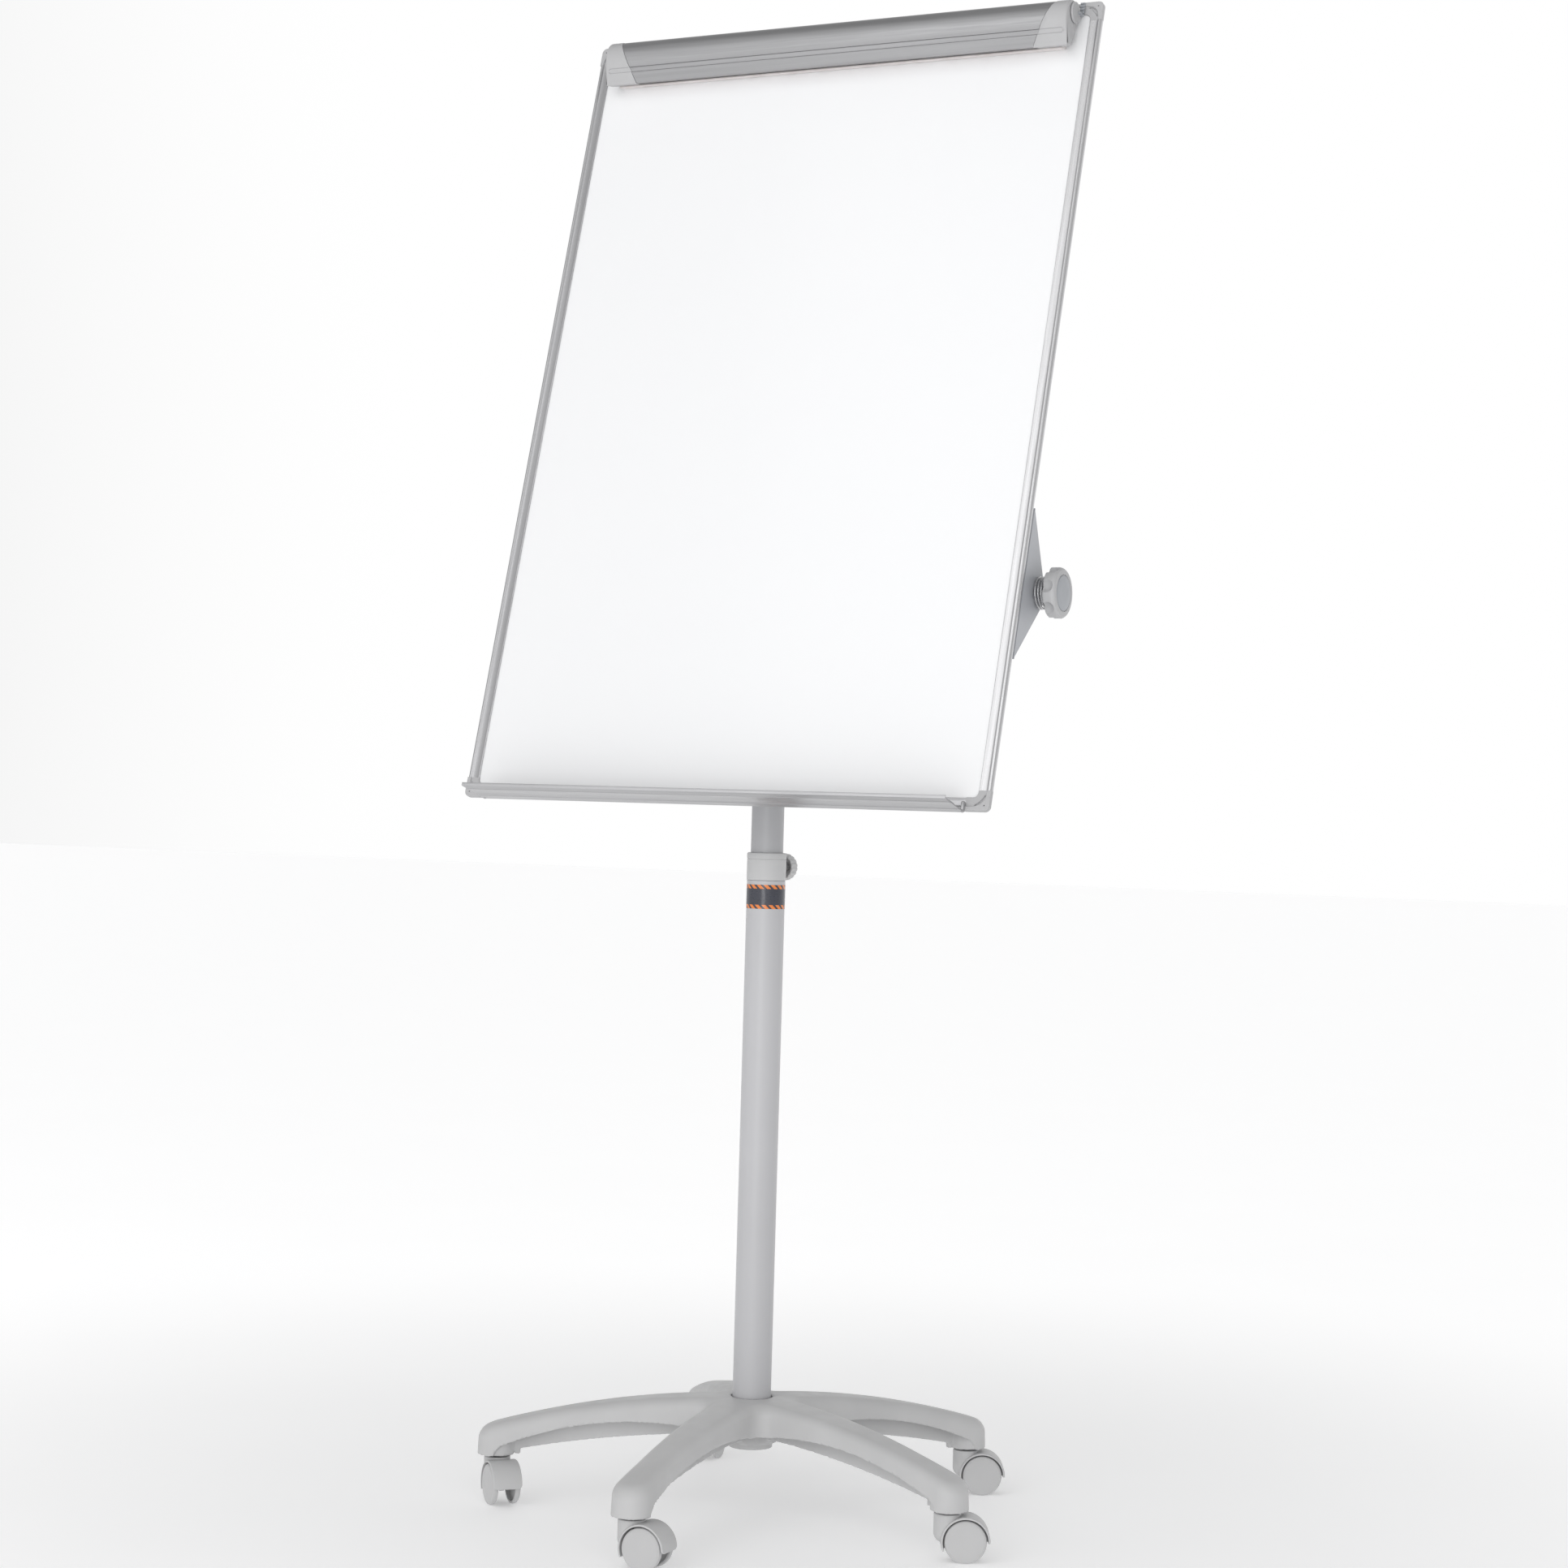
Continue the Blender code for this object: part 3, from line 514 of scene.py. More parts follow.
def net_faces(inside, index):
    """A quad round each grid edge that crosses the surface."""
    faces = []
    for axis in range(3):
        others = [a for a in range(3) if a != axis]
        low = [slice(1, -1)] * 3
        low[axis] = slice(0, -1)
        high = list(low)
        high[axis] = slice(1, None)
        start, stop = inside[tuple(low)], inside[tuple(high)]
        spots = np.argwhere(start != stop)
        rising = start[tuple(spots.T)]
        offset = np.ones(3, int)
        offset[axis] = 0
        cells = spots + offset
        steps = [np.zeros(3, int) for _ in range(4)]
        steps[1][others[0]] = steps[2][others[0]] = -1
        steps[2][others[1]] = steps[3][others[1]] = -1
        quads = np.stack([index[tuple((cells + s).T)] for s in steps], axis=1)
        flip = rising if axis != 1 else ~rising
        quads[flip] = quads[flip][:, ::-1]
        faces.append(quads)
    return np.concatenate(faces)


def gradient(field, points, step):
    slopes = []
    for axis in range(3):
        offset = np.zeros(3)
        offset[axis] = step
        ahead, behind = points + offset, points - offset
        slopes.append((field(*ahead.T) - field(*behind.T)) / (2 * step))
    return np.stack(slopes, axis=1)


def level_mesh(field, low, high, cell, pulls=3):
    """Closed mesh of a field's zero level: surface nets, each point then pulled onto the level."""
    axes = [np.arange(a, b + cell, cell) for a, b in zip(low, high)]
    grid = np.meshgrid(*axes, indexing="ij", sparse=True)
    values = np.asarray(field(*grid))
    inside = values < 0
    count = sum(inside[i:inside.shape[0] - 1 + i, j:inside.shape[1] - 1 + j, k:inside.shape[2] - 1 + k]
                .astype(np.int8) for i, j, k in CELL_CORNERS)
    cells = np.argwhere((count > 0) & (count < 8))
    index = np.full([n - 1 for n in inside.shape], -1)
    index[tuple(cells.T)] = np.arange(len(cells))
    points = np.array(low) + net_points(values, cells) * cell
    for _ in range(pulls):
        slope = gradient(field, points, cell * 0.1)
        size = np.maximum((slope ** 2).sum(1), 0.1)
        step = -field(*points.T)[:, None] * slope / size[:, None]
        points = points + np.clip(step, -cell * 0.5, cell * 0.5)
    mesh = bpy.data.meshes.new("level")
    mesh.from_pydata(points.tolist(), [], net_faces(inside, index).tolist())
    mesh.validate()
    return mesh


# Star base

ARM_HALF, ARM_SPREAD, ARM_SPREAD_END = 0.0225, 0.0105, 0.26
BASE_BOTTOM = low_of("star_base").z
HUB_TOP = 0.1425
BORE = 0.0236
SKIN = 0.005
SHOULDER = 0.0115
VALLEY_BLEND = 0.03
RIB_HALF = 0.0032


def base_field(x, y, z):
    """Five arched arms, open below, with a rib down each, and the hub round the column."""
    radius = np.hypot(x, y)
    turned_by = (np.arctan2(y, x) - ARM_TURN + SECTOR / 2) % SECTOR - SECTOR / 2
    plan = None
    for k in (-1, 0, 1):
        along, side = radius * np.cos(turned_by - k * SECTOR), radius * np.sin(turned_by - k * SECTOR)
        half = ARM_HALF + ARM_SPREAD * np.clip(1 - along / ARM_SPREAD_END, 0.0, 1.0)
        reach = np.hypot(along - np.clip(along, 0.0, CASTOR_CIRCLE), side) - half
        plan = reach if plan is None else smooth_min(plan, reach, VALLEY_BLEND)
    along, side = radius * np.cos(turned_by), radius * np.sin(turned_by)
    crown = 0.0022 * np.clip(1 + plan / 0.022, 0.0, 1.0) ** 2
    top = 0.1437 - 0.475 * radius ** 2 - crown
    skin = round_corner(plan + 0.04 * (z - 0.1), z - top, SHOULDER)
    edge = np.maximum(0.109 - 1.2 * (radius - 0.125) ** 2, BASE_BOTTOM)
    edge = np.where(radius < 0.07, np.minimum(edge, 0.1045), edge)
    curl = np.clip((radius - 0.3) / 0.0125, 0.0, 1.0)
    edge = BASE_BOTTOM + (edge - BASE_BOTTOM) * np.sqrt(1 - curl ** 2)
    shell = np.maximum(np.maximum(skin, -(skin + SKIN)), edge - z)
    rib = np.maximum(np.abs(side) - RIB_HALF, np.maximum(0.0955 - 0.38 * radius ** 2 - z, 0.02 - along))
    rib = np.maximum(rib, along - CASTOR_CIRCLE)
    boss = np.maximum(np.hypot(along - CASTOR_CIRCLE, side) - 0.0207, BASE_BOTTOM - z)
    nub = np.maximum(np.maximum(np.abs(along - 0.2862) - 0.003, np.abs(side) - 0.0036),
                     np.abs(z - BASE_BOTTOM - 0.0048) - 0.0036)
    core = smooth_min(rib, boss, 0.004)
    sleeve = np.maximum(radius - 0.0315, 0.0885 - z)
    core = np.minimum(smooth_min(core, sleeve, 0.005), nub)
    solid = np.minimum(shell, np.maximum(core, skin + 0.0012))
    stem_hole = np.maximum(np.hypot(along - CASTOR_CIRCLE, side) - 0.0056, z - 0.0895)
    collar_well = np.maximum(radius - BORE - 0.0018, HUB_TOP - 0.004 - z)
    return np.maximum(solid, -np.minimum(np.minimum(stem_hole, radius - BORE), collar_well))


def make_base():
    reach = CASTOR_CIRCLE + ARM_HALF + 0.004
    cell = 0.0021
    mesh = level_mesh(base_field, (-reach, -reach, BASE_BOTTOM - 0.0063), (reach, reach, 0.149), cell)
    piece("base_moulding", mesh, "grey_plastic", "base", ["star_base"], ON_COLUMN, smooth=45.0)


def make_hub_plug():
    """Cup pressed into the hub from below, with pockets between eight spokes."""
    bottom, pocket, outer = 0.082, 0.0872, 0.0265
    radii = [(0.0, 0.0845), (0.0052, 0.0845), (0.0056, bottom), (0.0088, bottom), (0.0091, pocket),
             (0.0228, pocket), (0.0231, bottom), (outer - 0.0006, bottom), (outer, bottom + 0.0006),
             (outer, 0.0882), (0.0213, 0.0884), (0.0213, 0.107), (0.0, 0.107)]
    spokes, half_spoke, steep, steps = 8, 0.075, 0.0001, 5
    span = 2 * math.pi / spokes - 2 * half_spoke
    bm = bmesh.new()
    angles = []
    for i in range(spokes):
        centre = 2 * math.pi * i / spokes
        for turn_by, open_here in ((-half_spoke, 0), (half_spoke, 0), (half_spoke + steep, 1)):
            angles.append((centre + turn_by, open_here))
        for k in range(1, steps):
            angles.append((centre + half_spoke + span * k / steps, 1))
        angles.append((centre + half_spoke + span - steep, 1))
    loops = []
    for number, (radius, height) in enumerate(radii):
        if radius == 0:
            loops.append([bm.verts.new((0.0, 0.0, height))])
            continue
        loop = []
        for angle, open_here in angles:
            level = height if number not in (4, 5) or open_here else bottom
            loop.append(bm.verts.new((radius * math.cos(angle), radius * math.sin(angle), level)))
        loops.append(loop)
    for low, high in zip(loops, loops[1:]):
        band(bm, low, high)
    piece("hub_plug_ribbed", mesh_of(bm), "grey_plastic", "base", ["hub_plug"], ON_COLUMN, smooth=30.0)


# Castors, in a frame with the stem's axis at the origin and the trail along +X

WHEEL_RADIUS, TRAIL = 0.0245, 0.0205
HOOD_RADIUS, POCKET_RADIUS, HOOD_HALF = 0.0286, 0.0263, 0.018
WEB_HALF, HOOD_TOP = 0.0026, 0.0548
CASTOR_TURNS = (27.0, 103.0, -41.0, 2.0, 27.0)
HOOD_START, HOOD_STOP, HOOD_STEPS = -3.0, 203.0, 72
HOOD_CORNER = 0.0045                    # radius of the mudguard's lower corners
GUARD_EDGE, WEB_START = 0.0016, 0.0062  # rounding of the mudguard's rims, and the web's inner radius


def hood_sweep():
    """Mudguard and web, swept round the axle; the mudguard's rear corners are rounded."""
    sections = []
    for i in range(HOOD_STEPS + 1):
        degrees = HOOD_START + (HOOD_STOP - HOOD_START) * (1 - math.cos(math.pi * i / HOOD_STEPS)) / 2
        angle = math.radians(degrees)
        from_end = min(HOOD_CORNER, HOOD_RADIUS * math.radians(degrees - HOOD_START))
        inset = HOOD_CORNER - math.sqrt(max(0.0, HOOD_CORNER ** 2 - (HOOD_CORNER - from_end) ** 2))
        half = HOOD_HALF - inset
        guard = [(half, POCKET_RADIUS), (half, HOOD_RADIUS), (0.0, HOOD_RADIUS)]
        guard = rounded(guard, [0, GUARD_EDGE, 0], 4, ring=False)[:-1]
        outline = [(WEB_HALF, WEB_START), (WEB_HALF, POCKET_RADIUS)] + guard
        outline += [(-y, r) for y, r in reversed(outline)]
        sections.append([(TRAIL + r * math.cos(angle), y, WHEEL_RADIUS + r * math.sin(angle))
                         for y, r in outline])
    return loft(sections)


def castor_hood():
    barrel = turned([(0, 0.0207)] + arc((0.0045, 0.0322), 0.0115, 270, 360, 8)
                    + [(0.016, HOOD_TOP - 0.0012)] + arc((0.0148, HOOD_TOP - 0.0012), 0.0012, 0, 90, 3)[1:]
                    + [(0.0118, HOOD_TOP), (0.0115, HOOD_TOP - 0.0006), (0, HOOD_TOP - 0.0006)], 64)
    axle = shift(TRAIL, 0, WHEEL_RADIUS)
    pockets = [changed(cylinder(POCKET_RADIUS, a, b, 72), ALONG_Y, axle)
               for a, b in ((-0.03, -WEB_HALF), (WEB_HALF, 0.03))]
    barrel = cut(barrel, *pockets)
    boss = changed(cylinder(0.0085, -0.0024, 0.0024, 40), ALONG_Y, axle)
    hood = united(hood_sweep(), barrel, boss)
    stem_bore = cylinder(0.0053, 0.04, 0.07, 24)
    axle_bore = changed(cylinder(0.0033, -0.03, 0.03, 24), ALONG_Y, axle)
    return cut(hood, stem_bore, axle_bore)


def castor_wheel(side):
    """Disc wheel: slightly domed face with a rim step, tread, recessed back."""
    outer, inner, tread_end = 0.0185, 0.0032, 0.0108
    face = [(0, outer), (0.006, outer - 0.00002), (0.013, outer - 0.0001), (0.019, outer - 0.00028),
            (0.0217, outer - 0.00045), (0.0219, outer - 0.0007), (0.0225, outer - 0.0007)]
    rim = [(0.0229, outer - 0.0009), (0.0238, outer - 0.0015), (0.0243, outer - 0.0026),
           (WHEEL_RADIUS, outer - 0.0036), (WHEEL_RADIUS, tread_end + 0.0014), (0.0242, tread_end + 0.0004),
           (0.0236, tread_end)]
    back = [(0.0216, tread_end), (0.0212, tread_end + 0.0004), (0.021, outer - 0.0026),
            (0.0085, outer - 0.0024), (0.0078, outer - 0.003), (0.0076, inner + 0.0002), (0.0072, inner),
            (0.0036, inner), (0.0036, 0.0168), (0, 0.0168)]
    return changed(turned(face + rim + back, 72), turn("X", -90 * side))


def castor_stem():
    low, high = HOOD_TOP + GAP, BASE_BOTTOM - GAP
    return turned([(0, 0.0413), (0.0044, 0.0413), (0.005, 0.0419), (0.005, low), (0.0068, low),
                   (0.007, low + 0.0002), (0.007, high - 0.0002), (0.0068, high), (0.005, high),
                   (0.005, 0.0889), (0.0044, 0.0895), (0, 0.0895)], 32)


def make_castors():
    hood, stem = castor_hood(), castor_stem()
    wheels = {"a": castor_wheel(1), "b": castor_wheel(-1)}
    for i in range(ARMS):
        number = str(i + 1)
        stand = middle("castor_stem_" + number)
        swivel = shift(stand.x, stand.y, 0) @ turn("Z", CASTOR_TURNS[i])
        hub = swivel @ shift(TRAIL, 0, WHEEL_RADIUS)
        piece("castor_pin_" + number, stem.copy(), "bare_steel", "base", ["castor_stem_" + number], swivel)
        piece("castor_fork_" + number, hood.copy(), "grey_plastic", "castor_" + number,
              ["castor_hood_" + number], swivel, smooth=30.0)
        keep("castor_axle_" + number, "bare_steel")
        for letter, wheel in wheels.items():
            piece("castor_disc_" + number + letter, wheel.copy(), "wheel_plastic", "wheel_" + number + letter,
                  ["castor_wheel_" + number + letter], hub, smooth=30.0)


# Column

TUBE_RADIUS, TUBE_BORE = 0.0233, 0.0218
TUBE_BOTTOM, TUBE_TOP = low_of("outer_tube").z, high_of("outer_tube").z
MAST_RADIUS, MAST_BORE = 0.0197, 0.0183
COLLAR_TOP = high_of("collar").z


def pipe(outer, inner, low, high, segments=96):
    ease = 0.0004
    return turned([(inner, low), (outer - ease, low), (outer, low + ease), (outer, high - ease),
                   (outer - ease, high), (inner + ease, high), (inner, high - ease)], segments, ring=True)


def make_column():
    piece("column_tube", pipe(TUBE_RADIUS, TUBE_BORE, TUBE_BOTTOM, TUBE_TOP), "painted_steel", "base",
          ["outer_tube"], ON_COLUMN)
    film = TUBE_RADIUS + 0.00025
    piece("column_band", turned([(TUBE_RADIUS + 0.00004, BAND_LOW), (film, BAND_LOW), (film, BAND_HIGH),
                                 (TUBE_RADIUS + 0.00004, BAND_HIGH)], 96, ring=True), "printed_band",
          "base", [], ON_COLUMN)
    bore = MAST_RADIUS + GAP
    lip = 0.0238
    bush = turned([(bore, 0.7), (TUBE_BORE - GAP, 0.7), (TUBE_BORE - GAP, TUBE_TOP + GAP),
                   (lip - 0.0004, TUBE_TOP + GAP), (lip, TUBE_TOP + 0.0007), (lip, 0.7933),
                   (lip - 0.0005, 0.7938), (lip - 0.0005, 0.7942), (lip + 0.0002, 0.7946),
                   (lip + 0.0002, COLLAR_TOP - 0.0016), (lip - 0.0004, COLLAR_TOP - 0.0004),
                   (lip - 0.0014, COLLAR_TOP), (bore + 0.0006, COLLAR_TOP), (bore, COLLAR_TOP - 0.0006)],
                  96, ring=True)
    hole = changed(cylinder(0.0045, 0, 0.04, 24), ALONG_Y, shift(0, 0, HEIGHT_KNOB.z))
    piece("column_collar", cut(bush, hole), "grey_plastic", "base", ["collar"], ON_COLUMN)
    mast = pipe(MAST_RADIUS, MAST_BORE, low_of("inner_tube").z, high_of("inner_tube").z)
    # The inner tube takes the darker copy of the paint: painted shade.
    piece("column_mast", mast, "shaded_inner_paint", "mast", ["inner_tube"], ON_COLUMN)
    keep("spring_seat", "dark_plastic")


def make_lift_spring():
    low, high = low_of("lift_spring").z, high_of("lift_spring").z
    turns, per_turn, radius = 11, 28, 0.0165
    path = []
    for i in range(turns * per_turn + 1):
        angle = 2 * math.pi * i / per_turn
        height = low + 0.0015 + (high - low - 0.003) * i / (turns * per_turn)
        path.append(Vector((radius * math.cos(angle), radius * math.sin(angle), height)))
    spring = piece("column_spring", wire(path, 0.0013, 8), "bare_steel", "base", ["lift_spring"], ON_COLUMN)
    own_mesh(spring)


def make_height_knob():
    """Hollow fluted knob; its open side faces the column."""
    flutes = 18
    front = 0.0541
    profile = [(0, 0.02), (0.0036, 0.02), (0.004, 0.0204), (0.004, 0.033), (0.0065, 0.0334),
               (0.0065, 0.0492), (0.0072, 0.0498), (0.0134, 0.0498), (0.014, 0.0492), (0.0143, 0.0372),
               (0.0148, 0.0368), (0.0158, 0.0368), (0.0164, 0.0374), (0.0165, 0.044), (0.0166, 0.05),
               (0.0161, 0.0515), (0.0149, 0.0528), (0.012, 0.0537), (0.006, front - 0.0001), (0, front)]

    def fluted(angle, radius, height):
        if radius < 0.0157 or height > 0.0522:
            return radius
        return radius - 0.0009 * max(0.0, math.cos(flutes * angle)) ** 0.5

    place = Matrix.Translation(Vector((COLUMN.x, COLUMN.y, HEIGHT_KNOB.z)))
    mesh = changed(turned(profile, flutes * 8, shape=fluted), ALONG_Y)
    piece("height_knob_fluted", mesh, "grey_plastic", "height_knob", ["height_knob"], place, smooth=30.0)


# Tilt head

HEAD_BARREL, HEAD_SOCKET, HEAD_HALF = 0.0185, 0.0225, 0.05
HEAD_BOTTOM = low_of("tilt_head").z
CROSSBAR_RADIUS = 0.0125


def head_field(x, y, z):
    """Tee about the tilt axis: a socket below, a barrel along x, blended where they meet."""
    depth = HEAD_BOTTOM - TILT_AXIS.z
    socket = round_corner(np.hypot(x, y) - HEAD_SOCKET, np.abs(z - depth / 2) + depth / 2, 0.0015)
    barrel = round_corner(np.hypot(y, z) - HEAD_BARREL, np.abs(x) - HEAD_HALF, 0.0018)
    ring = round_corner(np.hypot(y, z) - HEAD_BARREL - 0.0009,
                        np.abs(np.abs(x) - HEAD_HALF + 0.004) - 0.003, 0.0008)
    solid = np.minimum(smooth_min(socket, barrel, 0.009), ring)
    mast_end = high_of("inner_tube").z + GAP - TILT_AXIS.z
    bores = np.minimum(np.hypot(y, z) - CROSSBAR_RADIUS - GAP,
                       np.maximum(np.hypot(x, y) - MAST_RADIUS - GAP, z - mast_end))
    screw = np.maximum(np.hypot(x, z + 0.045) - 0.0034, 0.02 - y)
    return np.maximum(solid, -np.minimum(bores, screw))


def make_tilt_head():
    cell = 0.0013
    mesh = level_mesh(head_field, (-0.053, -0.026, -0.073), (0.053, 0.026, 0.022), cell)
    piece("tilt_tee", mesh, "grey_plastic", "mast", ["tilt_head"], ON_TILT_AXIS, smooth=45.0)
    end = high_of("crossbar").x - TILT_AXIS.x
    hole, inner, neck = 0.0053, 0.0105, 0.31
    bar = turned([(hole, -end), (CROSSBAR_RADIUS - 0.0005, -end), (CROSSBAR_RADIUS, -end + 0.0005),
                  (CROSSBAR_RADIUS, end - 0.0005), (CROSSBAR_RADIUS - 0.0005, end), (hole, end),
                  (hole, neck), (inner, neck), (inner, -neck), (hole, -neck)], 64, ring=True)
    piece("tilt_crossbar", changed(bar, ALONG_X), "painted_steel", "mast", ["crossbar"], ON_TILT_AXIS)


def make_crossbar_bolt():
    """Button-head screw with a hexagon socket and a washer face."""
    reach = TILT_AXIS.x - low_of("crossbar_bolt").x
    head = reach - 0.006
    profile = [(0, 0.32), (0.0044, 0.32), (0.005, 0.3206), (0.005, head), (0.0108, head),
               (0.011, head + 0.0004), (0.011, head + 0.0013), (0.0106, head + 0.0016),
               (0.0092, head + 0.0018)]
    profile += [(0.0092 * math.cos(a), head + 0.0018 + 0.0042 * math.sin(a))
                for a in (0.25, 0.5, 0.75, 1.0, 1.2, 1.4)] + [(0, reach)]
    socket = prism([(0.003 * math.cos(k * math.pi / 3), 0.003 * math.sin(k * math.pi / 3)) for k in range(6)],
                   reach - 0.0032, reach + 0.002)
    bolt = changed(cut(turned(profile, 48), socket), turn("Y", -90))
    piece("tilt_bolt", bolt, "bare_steel", "mast", ["crossbar_bolt"], ON_TILT_AXIS, smooth=30.0)


# Tilt knob, built along Z from the ear outwards

KNOB_BACK, KNOB_FRONT = 0.363, 0.379
KNOB_RADIUS, KNOB_LOBES = 0.03, 7
SCALLOP_RADIUS, SCALLOP_CENTRE, SCALLOP_END = 0.0088, 0.0338, 0.3683


def knob_reach(angle, radius, height):
    """Radius of the knob with round-ended scallops cut from its back."""
    if radius < 0.0185 or height < KNOB_BACK:
        return radius
    pitch = 2 * math.pi / KNOB_LOBES
    off = abs((angle + pitch / 2) % pitch - pitch / 2)
    size = SCALLOP_RADIUS ** 2 - max(0.0, height - SCALLOP_END) ** 2
    room = size - (SCALLOP_CENTRE * math.sin(off)) ** 2
    if room <= 0 or off > 1.2:
        return radius
    return min(radius, SCALLOP_CENTRE * math.cos(off) - math.sqrt(room))


def make_tilt_knob():
    front, back, size = KNOB_FRONT, KNOB_BACK, KNOB_RADIUS
    rear = [(0, 0.318), (0.0044, 0.318), (0.005, 0.3186), (0.005, back + 0.004), (0.0105, back + 0.004),
            (0.011, back + 0.0002), (0.0125, back), (size - 0.0035, back)]
    side = arc((size - 0.0022, back + 0.0022), 0.0022, 280, 360, 5)
    side += [(size, back + 0.0022 + (front - back - 0.0082) * k / 9) for k in range(1, 10)]
    crown = arc((size - 0.006, front - 0.006), 0.006, 8, 60, 8)
    face = [(0.0235, front - 0.0006), (0.0222, front - 0.0004), (0.0218, front - 0.0005),
            (0.0215, front - 0.0014), (0, front - 0.0014)]
    mesh = changed(turned(rear + side + crown + face, KNOB_LOBES * 24, shape=knob_reach), ALONG_X)
    piece("tilt_knob_grip", mesh, "knob_plastic", "tilt_knob", ["tilt_knob"], ON_TILT_AXIS, smooth=28.0)
    inlay = [(0, front - 0.0013), (0.0208, front - 0.0013), (0.0208, front - 0.0008),
             (0.0204, front - 0.0003), (0.0196, front - 0.0001), (0.01, front), (0, front)]
    piece("tilt_knob_inlay", changed(turned(inlay, 72), ALONG_X), "knob_inlay", "tilt_knob", [], ON_TILT_AXIS)
    low, high = low_of("knob_spring").x - TILT_AXIS.x, high_of("knob_spring").x - TILT_AXIS.x
    wire_radius, turns, per_turn, radius = 0.0011, 3.5, 40, 0.0185
    path = []
    for i in range(int(turns * per_turn) + 1):
        angle = 2 * math.pi * i / per_turn
        along = low + wire_radius + (high - low - 2 * wire_radius) * i / (turns * per_turn)
        path.append(Vector((along, radius * math.cos(angle), radius * math.sin(angle))))
    piece("tilt_knob_coil", wire(path, wire_radius, 12), "bare_steel", "tilt_knob", ["knob_spring"],
          ON_TILT_AXIS)


# Board, in board coordinates

def along_v(section, side, start, stop):
    """Sweeps an (inward, s) section up the board at the left (-1) or right (+1) edge."""
    return loft([[(side * (BOARD_WIDTH / 2 - a), s, end) for a, s in section] for end in (start, stop)])


def along_u(section, start, stop):
    """Sweeps an (s, v) section across the board."""
    return loft([[(end, s, v) for s, v in section] for end in (start, stop)])


RAIL_INSET = 0.0055                     # side wall, in from the edge of the overhanging bead


def rail_section():
    """Frame rail as (inward, s): rounded outer bead, slope down to a flat land over the sheet."""
    bead = [(0.0, 0.0048), (0.0001, 0.0026), (0.0006, 0.0012), (0.0014, 0.0001), (0.0024, -0.0006),
            (0.0033, -0.0009), (0.0039, -0.0008), (0.0043, -0.0005)]
    slope = [(0.0056, 0.0007), (0.006, 0.00095)]
    land = [(0.0066, 0.00105), (0.0141, 0.0011), (0.0145, 0.0009), (0.0151, 0.0009), (0.0155, 0.0012),
            (0.0156, 0.0017), (0.0154, 0.0022)]
    wall = RAIL_INSET
    inside = [(wall + 0.0016, 0.0022), (wall + 0.0016, 0.0144), (0.0132, 0.0144), (0.0132, 0.0157),
              (0.0129, 0.016)]
    back = [(wall + 0.0008, 0.016), (wall + 0.0002, 0.0157), (wall, 0.0151), (wall, 0.0066),
            (wall - 0.0004, 0.006), (0.0008, 0.006), (0.0002, 0.0056)]
    return bead + slope + land + inside + back


CORNER_LEG_U, CORNER_LEG_V = 0.03, 0.0245


def make_frame():
    section = rail_section()
    start, stop = CORNER_LEG_V, BOARD_HEIGHT - CORNER_LEG_V
    for name, side, look in (("left", -1, "aluminium_upright"), ("right", 1, "aluminium_right")):
        piece("rail_" + name, along_v(section, side, start, stop), look, "board",
              ["frame_rail_" + name], BOARD)
    reach = BOARD_WIDTH / 2 - CORNER_LEG_U
    lower = [(s, a) for a, s in section]
    upper = [(s, BOARD_HEIGHT - a) for a, s in section]
    for name, outline in (("bottom", lower), ("top", upper)):
        piece("rail_" + name, along_u(outline, -reach, reach), "aluminium", "board",
              ["frame_rail_" + name], BOARD)


CORNER_RADIUS = 0.0065                  # outside corner
LAND_WIDTH, FILLET = 0.0162, 0.0065     # width of each leg, and the fillet between the legs
RIM_WIDTH, RIM_CENTRE = 0.0052, 0.022   # raised rim, and the centre of its arc round the corner
CORNER_BACK = 0.0163
CRESCENT_DEPTH = 0.0021


def corner_height(a, b):
    """Front surface of a corner piece: raised rim, crescent recess at its foot, lower land.
    a and b are the distances inward from the board's outer edges."""
    in_corner = a < RIM_CENTRE and b < RIM_CENTRE
    from_centre = math.hypot(RIM_CENTRE - a, RIM_CENTRE - b)
    in_rim = from_centre - RIM_CENTRE + RIM_WIDTH if in_corner else RIM_WIDTH - min(a, b)
    share = min(1.0, max(0.0, 0.5 + in_rim / 0.0013))
    height = 0.0009 - 0.0019 * share * share * (3 - 2 * share)
    if in_corner:
        bearing = math.atan2(RIM_CENTRE - b, RIM_CENTRE - a) - math.pi / 4
        crescent = max(0.0, 1 - (bearing / 0.62) ** 2)
        depth = 1 - ((in_rim + 0.0012) / (0.0004 + 0.0016 * crescent)) ** 2
        height += CRESCENT_DEPTH * min(1.0, max(0.0, depth * 2.5)) * min(1.0, crescent * 4)
    return height


def corner_reach(angle):
    """From the fillet's centre to the rounded outer corner, along an angle in the third quadrant."""
    centre = LAND_WIDTH + FILLET
    x, y = math.cos(angle), math.sin(angle)
    reach = min(centre / max(-x, 1e-9), centre / max(-y, 1e-9))
    if max(centre + reach * x, centre + reach * y) < CORNER_RADIUS:
        off = centre - CORNER_RADIUS
        half = off * (x + y)
        reach = -half + math.sqrt(half * half - 2 * off * off + CORNER_RADIUS ** 2)
    return reach


